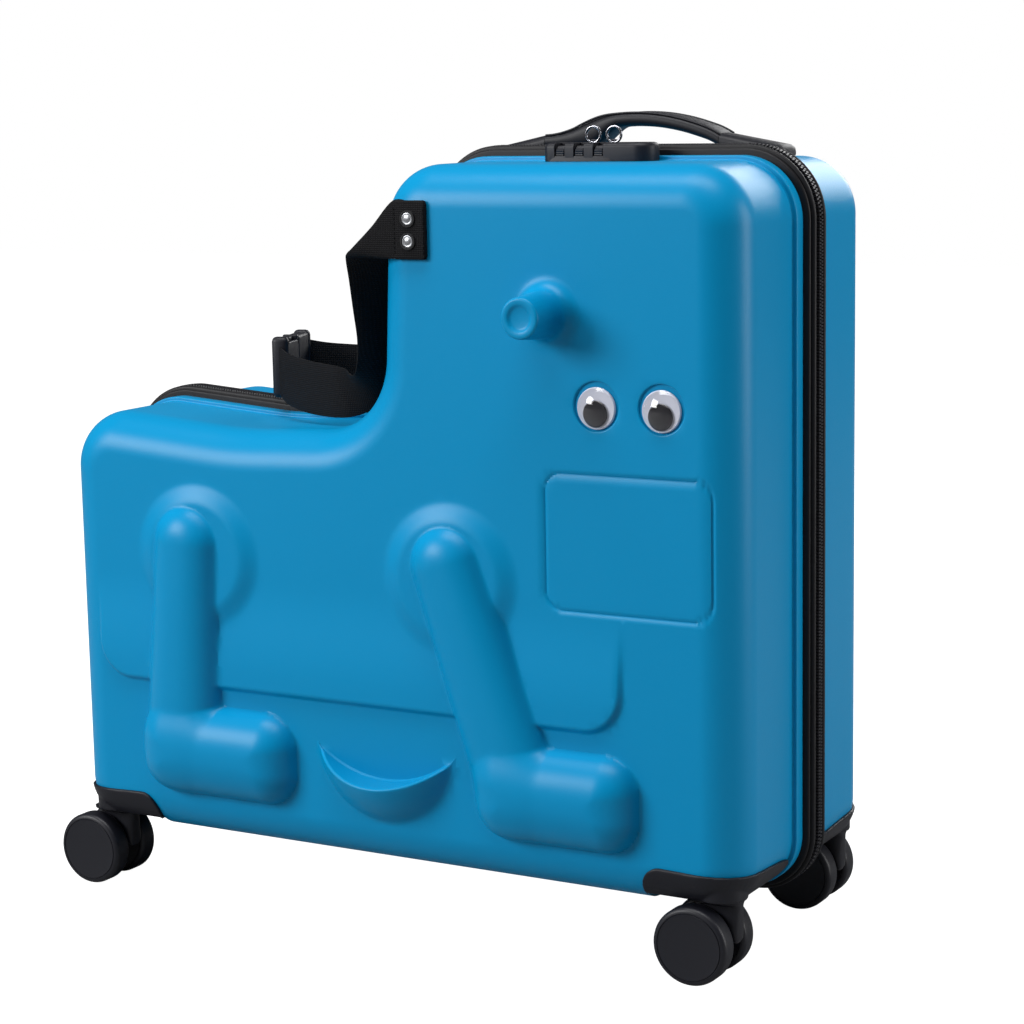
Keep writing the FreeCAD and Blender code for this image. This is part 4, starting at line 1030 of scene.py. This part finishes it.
def wing_mesh(half, end):
    """A caster's bracket: wings on the round edges of the corner, and the plate in the well."""
    x, y, _ = swivel(half, end)
    way = math.copysign(1, x)
    low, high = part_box("%s_%s_bracket" % (half, end))
    inner = low.x if way > 0 else high.x
    case_end = HEAD if way > 0 else TAIL
    beyond = case_end + way * WING_TOP
    finger_start = case_end - way * FINGER_RUN
    tall = (WING_TOP - WING_LOW) / 2
    side = [(inner + way * WING_ROUND * (1 - math.sin(t)), WING_LOW + tall - tall * math.cos(t))
            for t in np.linspace(0, math.pi, 15)]
    side += [(x + way * DIP_AHEAD, WING_DIP), (case_end - way * END_RUN, WING_END), (beyond, WING_END)]
    side += [(beyond, PLATE_LOW), (x - way * PLATE_BEHIND, PLATE_LOW)]
    side += [(x - way * NOTCH_BEHIND, PLATE_LOW - NOTCH_DROP), (inner + way * TOE_RUN, WING_LOW)]
    near_cookie = prism(side, FACE_Y - COOKIE_OUT, FACE_Y + FACE_RADIUS + COOKIE_IN, "Y")
    end_cookie = prism(FINGER, min(finger_start, beyond), max(finger_start, beyond), "X")
    cookie = combined(near_cookie, end_cookie, operation="UNION")
    skin = combined(near_solid(WING_THICK), near_solid(-WING_SUNK))
    wing = combined(skin, cookie, operation="INTERSECT")
    place = (x, -abs(y))
    wing = combined(wing, pillar(WELL_RADIUS, 0, PLATE_LOW, place))
    disc = pillar(WELL_RADIUS - PLATE_GAP, PLATE_LOW, WELL_TOP - PLATE_TOP_GAP, place)
    disc = combined(disc, near_solid(WING_THICK * PLATE_OUT_SHARE), operation="INTERSECT")
    boss = combined(pillar(BOSS_RADIUS, PLATE_LOW, BOSS_TOP, place), near_solid(-WING_SUNK))
    whole = combined(combined(wing, disc, operation="UNION"), boss, operation="UNION")
    mesh = mesh_alone(whole)
    if half == "rear":
        mesh.transform(Matrix.Scale(-1, 4, (0, 1, 0)))
        mesh.flip_normals()
    return mesh


for half in HALVES:
    for end in ENDS:
        tag = "%s_%s" % (half, end)
        wing = dressed(tag + "_corner_wing", wing_mesh(half, end), PLASTIC, half + "_case",
                       [tag + "_bracket"])
        rounded_off(wing, WING_GRAIN, WING_PASSES)
        caster = tag + "_caster"
        horn = fork_form(half, end)
        piece(tag + "_horn", horn, PLASTIC, caster, [tag + "_fork"], sharp=50)
        for side in ("outer", "inner"):
            node = "%s_wheel_%s" % (tag, side)
            low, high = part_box(node)
            profile = wheel_profile((high.y - low.y) / 2, (high.z - low.z) / 2)
            form = turned(profile, centre_of(node), WHEEL_STEPS)
            piece(node + "_disc", form, TYRE, node, [node], sharp=35)


# Eyes and rivets

PUPIL_EDGE, PLATE_RIM, DOME_THICK = 0.0005, 0.0006, 0.0004
PLATE_DISH_SHARE, PLATE_EDGE_SHARE, DOME_INNER_SHARE = 0.9, 0.6, 0.95
# Shares of the radius and of the rise
RIVET_SHARES = [(0, 0.8), (0.5, 0.76), (0.56, 0.62), (0.64, 0.62), (0.72, 0.78), (0.86, 0.74),
                (0.96, 0.45), (1, 0)]
# The second table is a black ring round each rivet head: painted shadow that the domed head casts on the tab
SHADE_RING_SHARES = [(1.3, 0), (1.22, 1), (1.02, 1), (0.9, 0)]
RIVET_STEPS = 40


def eye_forms(half, end):
    """Plate, loose dark disc and clear dome of one eye."""
    pupil = "front_%s_pupil" % end
    low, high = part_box(pupil)
    x, _, pupil_z = centre_of(pupil)
    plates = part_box("front_eye_plates")
    radius, thick = (plates[1].z - plates[0].z) / 2, plates[1].y - plates[0].y
    dished = thick * PLATE_DISH_SHARE
    dish = [(0, dished), (radius * PLATE_DISH_SHARE, dished), (radius - PLATE_RIM, thick)]
    dish += [(radius, thick * PLATE_EDGE_SHARE), (radius, 0), (0, 0)]
    wide, deep = (high.x - low.x) / 2, high.y - low.y
    disc = [(0, deep), (wide - PUPIL_EDGE, deep), (wide, deep / 2), (wide - PUPIL_EDGE, 0), (0, 0)]
    rise = plates[0].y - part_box("front_eye_domes")[0].y
    ball = (radius ** 2 + rise ** 2) / (2 * rise)
    turns = np.linspace(0, math.asin(radius / ball), 13)
    cap = [(ball * math.sin(turn), ball * math.cos(turn) - ball + rise) for turn in turns]
    dome = cap + [(r * DOME_INNER_SHARE, h - DOME_THICK) for r, h in reversed(cap)]
    rows = ((dish, plates[1].y, EYE_Z), (disc, high.y, pupil_z), (dome, plates[0].y, EYE_Z))
    return [turned(profile, (x, y, z)).on(half) for profile, y, z in rows]


def small_turned(shares, place, radius, rise):
    """A rivet's head, or the black ring round it, which is a painted shadow of the domed head."""
    return turned([(radius * out, rise * up) for out, up in shares], place, RIVET_STEPS)


for half in HALVES:
    body = half + "_case"
    plates, discs, domes = zip(*(eye_forms(half, end) for end in ENDS))
    whites, covers = joined(*plates), joined(*domes)
    piece("%s_eye_whites" % half, whites, EYE_WHITE, body, ["%s_eye_plates" % half], sharp=50)
    piece("%s_eye_covers" % half, covers, CLEAR, body, ["%s_eye_domes" % half], sharp=50)
    for end, disc in zip(ENDS, discs):
        node = "%s_%s_pupil" % (half, end)
        piece(node + "_disc", disc, PUPIL, node, [node], sharp=50)


# Lap belt: ribbons from the riveted tabs to the buckle, by their upper and lower edges on the near side

MM = 0.001
STRAP_UPPER = [(43, -103.2, 480), (31, -103.2, 480), (19, -103.2, 480), (3, -103, 463.8),
               (-12, -102.2, 450.8), (-18.4, -100, 446.2), (-21.2, -97, 442), (-21.1, -94, 429.2),
               (-19.5, -92.5, 410), (-18, -91, 391.8), (-19, -90, 378), (-24, -86, 368), (-34, -76, 366),
               (-43, -68, 368.5), (-55, -64, 370), (-80, -53.5, 371), (-100, -43, 372.5), (-112, -36, 374),
               (-123, -28, 377)]
STRAP_LOWER = [(43, -103.2, 444), (31, -103.2, 444), (19, -103.2, 444), (17, -103, 444),
               (15.5, -102.2, 443.7), (13, -99, 444), (1, -80, 443), (-1.5, -68, 432), (-4, -60, 410),
               (-6, -58, 392), (-8.5, -57, 376), (-13, -57, 360), (-22, -58.5, 346), (-36, -62, 338),
               (-52, -63.5, 335.5), (-80, -53.5, 335.5), (-100, -43, 337), (-112, -36, 339), (-123, -28, 343)]
STRAP_THICK, STRAP_STEPS, STRAP_COLUMNS = 0.0016, 110, 12
STRAP_EDGE_SHARE, STRAP_EDGE_SLOPE = 0.45, 5
TAB_RISE, TAB_EDGE, TAB_BACK_EDGE, TAB_ROUND = 0.0022, 0.0012, 0.0003, 0.0025
STITCH_LONG, STITCH_PITCH, STITCH_RADIUS = 0.0020, 0.0030, 0.0003
# The first height lifts the black painted-shadow ring round each rivet head
SHADE_RING_RISE, RIVET_PROUD = 0.0009, 0.0004
RUN_START, BUCKLE_TURN = -0.050, math.radians(18)
socket_low, socket_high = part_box("buckle_socket")
plug_low, plug_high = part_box("buckle_plug")
BUCKLE_X = (socket_low.x + socket_high.x) / 2


def led_to(points, end_x):
    """The strap's edge with its run over the seat made longer or shorter, so that it ends at a buckle."""
    points = np.array(points) * MM
    over = points[:, 0] < RUN_START
    stretch = (end_x - RUN_START) / (points[-1, 0] - RUN_START)
    points[over, 0] = RUN_START + (points[over, 0] - RUN_START) * stretch
    return points


def near_ribbon(end_x):
    """The strap as a thin ribbon between its two edges."""
    upper = smooth_path(led_to(STRAP_UPPER, end_x), STRAP_STEPS)
    lower = smooth_path(led_to(STRAP_LOWER, end_x), STRAP_STEPS)
    middle = (upper + lower) / 2
    ahead = np.gradient(middle, axis=0)
    rings = []
    for top, bottom, way in zip(upper, lower, ahead):
        across = bottom - top
        normal = unit(np.cross(way, across))
        shares = np.linspace(0, 1, STRAP_COLUMNS + 1)
        thin = np.minimum(1, STRAP_EDGE_SHARE + STRAP_EDGE_SLOPE * np.minimum(shares, 1 - shares))
        face = top + np.outer(shares, across)
        lift = np.outer(thin * STRAP_THICK / 2, normal)
        rings.append(np.vstack((face + lift, (face - lift)[::-1])))
    return Form().rings(rings, caps=True)


def near_tab():
    """The folded end of the strap, and the stitches that hold the fold."""
    spots = np.array(STRAP_UPPER[:3] + STRAP_LOWER[:3]) * MM
    low, high = spots.min(axis=0), spots.max(axis=0)
    margin = TAB_EDGE / 3
    loop = rounded_loop((low[0] + 2 * margin, low[2] - margin), (high[0] + margin, high[2] + margin),
                        TAB_ROUND)
    y, back = low[1] - TAB_RISE, low[1] + STRAP_THICK / 2
    form = plate(loop, y, back, TAB_EDGE, TAB_BACK_EDGE, lambda a, b, height: (a, height, b))
    for x in (low[0] + 5 * margin, high[0] - 2 * margin):
        for z in np.arange(low[2] + STITCH_PITCH, high[2] - STITCH_PITCH, STITCH_PITCH):
            path = [(x, y, z), (x, y - STITCH_RADIUS, z + STITCH_LONG / 2), (x, y, z + STITCH_LONG)]
            form = joined(form, tube(path, STITCH_RADIUS, steps=8))
    return form


rivet_low, rivet_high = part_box("front_rivets")
rivet_half = (rivet_high.x - rivet_low.x) / 2
rivet_y = STRAP_UPPER[0][1] * MM - TAB_RISE
rivet_rise = rivet_y - rivet_low.y + RIVET_PROUD
rivet_spots = [((rivet_low.x + rivet_high.x) / 2, rivet_y, z)
               for z in (rivet_low.z + rivet_half, rivet_high.z - rivet_half)]
for half, way in HALVES.items():
    body = half + "_case"
    belt = near_ribbon(BUCKLE_X - way * socket_low.y * math.sin(BUCKLE_TURN)).on(half)
    piece("%s_belt" % half, belt, WEBBING, body, ["%s_belt_strap" % half], sharp=70)
    piece("%s_belt_tab" % half, near_tab().on(half), WEBBING, body, sharp=50)
    heads, rings = (joined(*(small_turned(shares, spot, rivet_half, rise) for spot in rivet_spots)).on(half)
                    for shares, rise in ((RIVET_SHARES, rivet_rise), (SHADE_RING_SHARES, SHADE_RING_RISE)))
    # Black rubber rings round the rivet heads: painted shadow of the domed heads on the tab
    piece("%s_rivet_rings" % half, rings, RUBBER, body, sharp=60)
    piece("%s_rivet_heads" % half, heads, STEEL, body, ["%s_rivets" % half], sharp=60)


# Side-release buckle

BUCKLE_BAR, BAR_EDGE, WALL_EDGE, RAIL_EDGE = 0.0075, 0.0034, 0.0008, 0.0010
PRONG_BASE_EDGE, PRONG_EDGE, PRONG_BASE_Y, PRONG_ROOT_Y = 0.0020, 0.0012, 0.0004, 0.004
socket_side = (socket_low.y + BUCKLE_BAR / 2, socket_high.y)
socket_mouth = (socket_high.y - BUCKLE_BAR / 2, socket_high.y)
prong = (plug_low.y, PRONG_ROOT_Y)
# Shares of the buckle's thickness, places along Y, shares of its height and the round of its edges
SOCKET_SHARES = [((0, 1), (socket_low.y, socket_low.y + BUCKLE_BAR), (0, 1), BAR_EDGE),
                 ((0.05, 0.26), socket_side, (0.1, 0.9), WALL_EDGE),
                 ((0.74, 0.95), socket_side, (0.1, 0.9), WALL_EDGE),
                 ((0.05, 0.95), socket_mouth, (0.02, 0.2), RAIL_EDGE),
                 ((0.05, 0.95), socket_mouth, (0.8, 0.98), RAIL_EDGE)]
PLUG_SHARES = [((0, 1), (plug_high.y - BUCKLE_BAR, plug_high.y), (0, 1), BAR_EDGE),
               ((0.06, 0.94), (PRONG_BASE_Y, plug_high.y - BUCKLE_BAR / 2), (0.04, 0.96), PRONG_BASE_EDGE),
               ((0.32, 0.68), prong, (0.42, 0.58), RAIL_EDGE),
               ((0.32, 0.68), prong, (0.04, 0.17), PRONG_EDGE),
               ((0.32, 0.68), prong, (0.83, 0.96), PRONG_EDGE)]


def buckle_form(rows):
    """Round-edged blocks as the buckle hangs, turned a little about a standing line through its middle."""
    corner, size = socket_low, socket_high - socket_low
    form = Form()
    for x_share, y, z_share, edge in rows:
        low, high = ((corner.x + size.x * a, b, corner.z + size.z * c)
                     for a, b, c in zip(x_share, y, z_share))
        form = joined(form, block(low, high, edge))
    cos, sin = math.cos(BUCKLE_TURN), math.sin(BUCKLE_TURN)
    form.verts = [(BUCKLE_X + (x - BUCKLE_X) * cos - y * sin, (x - BUCKLE_X) * sin + y * cos, z)
                  for x, y, z in form.verts]
    return form


socket, plug = buckle_form(SOCKET_SHARES), buckle_form(PLUG_SHARES)
piece("buckle_socket_body", socket, PLASTIC, "front_case", ["buckle_socket"], sharp=50)
piece("buckle_plug_body", plug, PLASTIC, "rear_case", ["buckle_plug"], sharp=50)


# Combination lock

lock_low, lock_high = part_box("lock_housing")
LOCK_SQUARE_END, LOCK_ROUND_END, LOCK_TOP_EDGE, LOCK_CROWN = 0.0045, 0.0112, 0.0030, 0.0016
LOCK_FOOT_EDGE, WINDOW_GAP, WINDOW_OVER = 0.0003, 0.0005, 0.01
LIP_STRIP_RISE, LIP_STRIP_OUT, LIP_STRIP_SHARE = 0.0034, 0.0009, 0.64
LIP_STRIP_SUNK, LIP_STRIP_LIFT, LIP_STRIP_TAPER = 0.0004, 0.0002, 0.003
DIAL_TEETH, DIAL_TOOTH, DIAL_FACE_SHARE, DIAL_FLAT_SHARE = 20, 0.0004, 0.82, 0.8
KEY_EDGE, KEY_STEPS, KEYHOLE_SHARE, KEYHOLE_HALF, KEYHOLE_DEPTH = 0.0006, 48, 0.62, 0.0006, 0.0022
BUTTON_EDGE = 0.0010


def lock_loop():
    """Plan of the lock: square at its tail end, round at its head end."""
    tail, head, near, far = lock_low.x, lock_high.x, lock_low.y, lock_high.y
    square, large = LOCK_SQUARE_END, LOCK_ROUND_END
    points = arc((head - large, far - large), large, 0, 90, 10)
    points += arc((tail + square, far - square), square, 90, 180, 6)
    points += arc((tail + square, near + square), square, 180, 270, 6)
    points += arc((head - large, near + large), large, 270, 360, 10)
    return np.array(points)


def dial_form(node):
    """A knurled wheel on the rod of the lock."""
    low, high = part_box(node)
    radius, half = (high.z - low.z) / 2, (high.x - low.x) / 2
    turns = np.arange(DIAL_TEETH * 2) / (DIAL_TEETH * 2) * math.tau
    reach = radius - DIAL_TOOTH * (np.arange(DIAL_TEETH * 2) % 2)
    flat = half * DIAL_FLAT_SHARE
    rings = []
    for along, share in ((-half, DIAL_FACE_SHARE), (-flat, 1), (flat, 1), (half, DIAL_FACE_SHARE)):
        spokes = (np.full(len(turns), along), reach * share * np.cos(turns), reach * share * np.sin(turns))
        rings.append(centre_of(node) + np.column_stack(spokes))
    return Form().rings(rings, caps=True)


windows = []
window_top = lock_high.z + WINDOW_OVER
for number in (1, 2, 3):
    node = "lock_dial_%d" % number
    low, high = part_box(node)
    windows.append(Form().box((low.x - WINDOW_GAP, lock_low.y - WINDOW_OVER, low.z + WINDOW_GAP),
                              (high.x + WINDOW_GAP, high.y + WINDOW_GAP, window_top)))
    piece(node + "_wheel", dial_form(node), PLASTIC, node, [node], sharp=25)
key_low, key_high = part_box("key_cylinder")
key_x, key_y, _ = centre_of("key_cylinder")
key_half = (key_high.x - key_low.x) / 2
windows.append(pillar(key_half + WINDOW_GAP, key_low.z, key_high.z + WINDOW_OVER, (key_x, key_y), KEY_STEPS))
button_low, button_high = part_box("release_button")
button_end = button_high.x + joints["button_slide"]["range_m"][1]
windows.append(Form().box((button_low.x - WINDOW_GAP, button_low.y - WINDOW_GAP, button_low.z),
                          (button_end + WINDOW_GAP, button_high.y + WINDOW_GAP, window_top)))
housing = plate(lock_loop(), lock_low.z, lock_high.z + LOCK_CROWN, LOCK_FOOT_EDGE, LOCK_TOP_EDGE,
                lambda a, b, height: (a, b, height))
housing = mesh_alone(combined(housing, *windows))
dressed("lock_case", housing, PLASTIC, "front_case", ["lock_housing"], sharp=40)
strip_start = lock_low.x + LOCK_SQUARE_END
strip_end = lock_low.x + LIP_STRIP_SHARE * (lock_high.x - lock_low.x)
strip_y, strip_z = lock_low.y + LIP_STRIP_SUNK, lock_low.z + LIP_STRIP_LIFT
strip_rings = []
for x, out in ((strip_start, 0), (strip_start + LIP_STRIP_TAPER, LIP_STRIP_OUT),
               (strip_end - LIP_STRIP_TAPER, LIP_STRIP_OUT), (strip_end, 0)):
    strip_rings.append(np.array([(x, strip_y, strip_z), (x, lock_low.y - out, strip_z),
                                 (x, strip_y, lock_low.z + LIP_STRIP_RISE)]))
strip = Form().rings(strip_rings, caps=True)
piece("lock_lip", strip, PLASTIC, "front_case", sharp=25)
key_profile = [(0, key_low.z), (key_half, key_low.z), (key_half, key_high.z - KEY_EDGE)]
key_profile += [(key_half - KEY_EDGE, key_high.z), (0, key_high.z)]
key_disc = Form().rings(lathe(key_profile, (key_x, key_y, 0), (0, 0, 1), KEY_STEPS))
slot_half = key_half * KEYHOLE_SHARE
keyhole = Form().box((key_x - slot_half, key_y - KEYHOLE_HALF, key_high.z - KEYHOLE_DEPTH),
                     (key_x + slot_half, key_y + KEYHOLE_HALF, window_top))
key_face = mesh_alone(combined(key_disc, keyhole))
dressed("key_face", key_face, PLASTIC, "key_cylinder", ["key_cylinder"], sharp=30)
piece("button_face", block(button_low, button_high, BUTTON_EDGE), PLASTIC, "release_button",
      ["release_button"], sharp=50)


# Carry handle

grip_low, grip_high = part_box("handle_grip")
HANDLE_Y, HANDLE_HALF = (grip_low.y + grip_high.y) / 2, (grip_high.y - grip_low.y) / 2
GRIP_THICK, PIPE_RADIUS, PIPE_SUNK, PIPE_SHARE = 0.0095, 0.0007, 0.0006, 0.86
HANDLE_POWER, HANDLE_STEPS, ARCH_STEPS = 3.0, 36, 60
# Height of each end piece at its tip, as a share of its height at the seam
TONGUE_SHARE = {"tail": 0.31, "head": 0.5}
# Along an end piece from its tip: shares of its length, of its height there and of its width
TIP_SHARES = [(0, 0.7, 0.80), (0.02, 0.9, 0.92), (0.06, 1, 0.97)]
TIP_SHARES += [(share, 1, 1) for share in (0.2, 0.4, 0.6, 0.8, 0.9, 1)]
LIFT_START_SHARE, LIFT_RUN_SHARE, LIFT_SHARE = 0.6, 0.5, 0.8
ARCH_SHARES = [(0, 0), (0.045, 0.03), (0.1, 0.12), (0.16, 0.28), (0.21, 0.48), (0.27, 0.7), (0.33, 0.86),
               (0.4, 0.95), (0.52, 1), (0.65, 0.93), (0.78, 0.72), (0.91, 0.38), (0.97, 0.15), (1, 0)]
# The leg towards the tail is filled in below the arch, from this share of its length and over this run
LEG_SHARE, LEG_RUN, LEG_FILL = 0.43, 0.16, 0.0095


def bar_section(x, half, low, high):
    """A section of the handle across its length."""
    across, up = squircle(HANDLE_POWER, HANDLE_STEPS)
    z = (low + high) / 2 + up * (high - low) / 2
    return np.column_stack((np.full(HANDLE_STEPS, x), HANDLE_Y + across * half, z))


arch = smooth_path(ARCH_SHARES, ARCH_STEPS)
arch_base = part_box("handle_tail_end")[1].z
arch_x = grip_low.x + np.clip(arch[:, 0], 0, 1) * (grip_high.x - grip_low.x)
arch_top = arch_base + arch[:, 1] * (grip_high.z - arch_base)
legs = smoothstep((LEG_SHARE - arch[:, 0]) / LEG_RUN) * LEG_FILL
arch_under = np.maximum(arch_top - GRIP_THICK - legs, grip_low.z)
sections = [bar_section(x, HANDLE_HALF, under, top) for x, under, top in zip(arch_x, arch_under, arch_top)]
grip = Form().rings(sections, caps=True)
piece("handle_arch", grip, GRIP, "rear_case", ["handle_grip"], sharp=50)
pipes = Form()
for side in (-1, 1):
    pipe_y = HANDLE_Y + side * HANDLE_HALF * PIPE_SHARE
    path = [(x, pipe_y, top - PIPE_SUNK) for x, top in zip(arch_x, arch_top)]
    pipes = joined(pipes, tube(path, PIPE_RADIUS, steps=8))
piece("handle_piping", pipes, GRIP, "rear_case", sharp=60)
for end, tongue_share in TONGUE_SHARE.items():
    low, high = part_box("handle_%s_end" % end)
    tall = high.z - low.z
    tip, seam = (low.x, high.x) if end == "tail" else (high.x, low.x)
    rings = []
    for share, full, wide in TIP_SHARES:
        top = low.z + full * (tongue_share + (1 - tongue_share) * share) * tall
        lift = smoothstep((share - LIFT_START_SHARE) / LIFT_RUN_SHARE) * (tall - GRIP_THICK) * LIFT_SHARE
        rings.append(bar_section(tip + share * (seam - tip), HANDLE_HALF * wide, low.z + lift, top))
    wedge = Form().rings(rings, caps=True)
    piece("handle_%s_wedge" % end, wedge, GRIP, "rear_case",
          ["handle_%s_end" % end], sharp=50)


# Zip sliders and their rings

SLIDER_EDGE, ARCH_WIRE, SLIDER_PLATES = 0.0009, 0.0008, 0.0034
RING_STEPS, WIRE_STEPS = 64, 14
for end in ENDS:
    node = "zip_slider_" + end
    low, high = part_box(node)
    body_top = low.z + SLIDER_PLATES
    plates = block(low, (high.x, high.y, body_top), SLIDER_EDGE)
    middle = (low.x + high.x) / 2
    reach = (high.x - low.x) / 2 - 2 * ARCH_WIRE
    bow = [(middle + reach * math.cos(t), 0, body_top - ARCH_WIRE + (high.z - body_top) * math.sin(t))
           for t in np.linspace(0, math.pi, 17)]
    slider = joined(plates, tube(bow, ARCH_WIRE))
    piece(node + "_body", slider, SLIDER, node, [node], sharp=50)
    node = "pull_ring_" + end
    low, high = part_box(node)
    wire = (high.y - low.y) / 2
    x, y, z = centre_of(node)
    radius = (high.x - low.x) / 2 - wire
    turns = np.arange(RING_STEPS) / RING_STEPS * math.tau
    loop = [(x + radius * math.cos(turn), y, z + radius * math.sin(turn)) for turn in turns]
    wire_form = tube(loop, wire, closed=True, steps=WIRE_STEPS)
    piece(node + "_wire", wire_form, CHROME, node, [node])


# Cloth hinge and linings

HINGE_SAG, HINGE_HELD_SHARE, RIM_NEAR = 0.0002, 0.9, 1e-5
hinge_low, hinge_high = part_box("hinge_tape")
rings = []
for z in np.linspace(hinge_low.z, hinge_high.z, 40):
    outer_side = [(hinge_low.x + HINGE_SAG * (y / hinge_high.y) ** 2, y, z)
                  for y in np.linspace(hinge_low.y, hinge_high.y, 17)]
    rings.append(np.array(outer_side + [(hinge_high.x, y, z) for _, y, _ in reversed(outer_side)]))
tape = Form().rings(rings, caps=True)
hinge = piece("cloth_hinge", tape, TAPE, None, ["hinge_tape"], sharp=50)
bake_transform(hinge)

for half in HALVES:
    low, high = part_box("%s_lining" % half)
    edge_y = high.y if half == "front" else -low.y
    wells = [well(half, end, WALL + LINING_GAP) for end in ENDS]
    cloth = mesh_alone(combined(near_space(LINING_GAP, edge_y).on(half), *wells))
    work = bmesh.new()
    work.from_mesh(cloth)
    rim = [face for face in work.faces
           if all(abs(abs(vert.co.y) - abs(edge_y)) < RIM_NEAR for vert in face.verts)]
    bmesh.ops.delete(work, geom=rim, context="FACES")
    work.to_mesh(cloth)
    work.free()
    made = dressed("%s_cloth" % half, cloth, CLOTH, half + "_case",
                   ["%s_lining" % half], sharp=50)

for name, made in nodes.items():
    if name.endswith(("_screws", "_axle", "_rod")):
        made.data.materials.clear()
        made.data.materials.append(STEEL)


# Stage and camera

CAMERA_AZIMUTH, CAMERA_RISE, CAMERA_ROLL = 29.68, 9.37, -1.04
CAMERA_AWAY, CAMERA_LENS, CAMERA_SENSOR, CAMERA_NEAR = 1.6832, 88.44, 36, 0.05
CAMERA_TARGET = np.array([0.04213, 0.0, 0.26874])
FLOOR_SIZE, FLOOR_GREY, FLOOR_ROUGH, WORLD_LIGHT = 12, 0.3, 0.9, 0.10
WHITE = (1, 1, 1, 1)


def camera_axes():
    """The camera's right, its up and the way from its target back to it."""
    turn, rise, roll = (math.radians(a) for a in (CAMERA_AZIMUTH, CAMERA_RISE, CAMERA_ROLL))
    back = np.array([math.sin(turn) * math.cos(rise), -math.cos(turn) * math.cos(rise), math.sin(rise)])
    right = np.array([math.cos(turn), math.sin(turn), 0.0])
    up = np.cross(back, right)
    return math.cos(roll) * right + math.sin(roll) * up, math.cos(roll) * up - math.sin(roll) * right, back


def place_camera():
    """The camera at the place from which the photograph was taken."""
    right, up, back = camera_axes()
    data = bpy.data.cameras.new("camera")
    data.lens, data.sensor_width, data.clip_start = CAMERA_LENS, CAMERA_SENSOR, CAMERA_NEAR
    camera = linked("camera", data)
    eye = CAMERA_TARGET + back * CAMERA_AWAY
    camera.matrix_world = Matrix([[*row, at] for row, at in zip(np.column_stack((right, up, back)), eye)]
                                 + [[0, 0, 0, 1]])
    bpy.context.scene.camera = camera


def soft_light(name, place, aim, size, power):
    """A wide soft lamp that faces a point."""
    data = bpy.data.lights.new(name, "AREA")
    data.shape = "RECTANGLE"
    data.size, data.size_y = size
    data.energy = power
    lamp = linked(name, data)
    lamp.location = place
    lamp.rotation_euler = (Vector(aim) - Vector(place)).to_track_quat("-Z", "Y").to_euler()


def white_world():
    """A white backdrop that only the camera sees, and a faint even light for all the rest."""
    world = bpy.data.worlds.new("studio")
    world.use_nodes = True
    bpy.context.scene.world = world
    tree = world.node_tree
    light = tree.nodes["Background"]
    set_inputs(light, Color=WHITE, Strength=WORLD_LIGHT)
    seen = shader_node(tree, "Background", Color=WHITE, Strength=1)
    path = shader_node(tree, "LightPath")
    ways = light.outputs["Background"], seen.outputs["Background"]
    mixed(tree, path.outputs["Is Camera Ray"], *ways, "World Output")


def white_floor():
    """A floor that the camera sees white and that throws back little light."""
    finish = finish_of("studio_floor", [FLOOR_GREY] * 3, FLOOR_ROUGH, shine=0)
    tree = finish.node_tree
    shader = tree.nodes["Principled BSDF"]
    set_inputs(shader, Emission_Color=WHITE)
    path = shader_node(tree, "LightPath")
    tree.links.new(path.outputs["Is Camera Ray"], shader.inputs["Emission Strength"])
    mesh = bpy.data.meshes.new("studio_floor")
    half = FLOOR_SIZE / 2
    corners = [(-half, -half, 0), (half, -half, 0), (half, half, 0), (-half, half, 0)]
    mesh.from_pydata(corners, [], [(0, 1, 2, 3)])
    mesh.materials.append(finish)
    linked("studio_floor", mesh)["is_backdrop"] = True


place_camera()
white_world()
white_floor()
CENTRE = (0, 0, 0.25)
soft_light("key", (-1.9, -2.3, 1.6), CENTRE, (1.6, 1.3), 96)
soft_light("side", (2.5, 0.8, 0.8), CENTRE, (1.0, 1.8), 40)
soft_light("top", (0.0, -0.5, 2.4), CENTRE, (1.8, 0.8), 46)
soft_light("back", (0.3, 2.8, 1.5), CENTRE, (1.6, 1.3), 45)
bpy.context.scene.view_settings.view_transform = "Standard"

low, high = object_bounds()
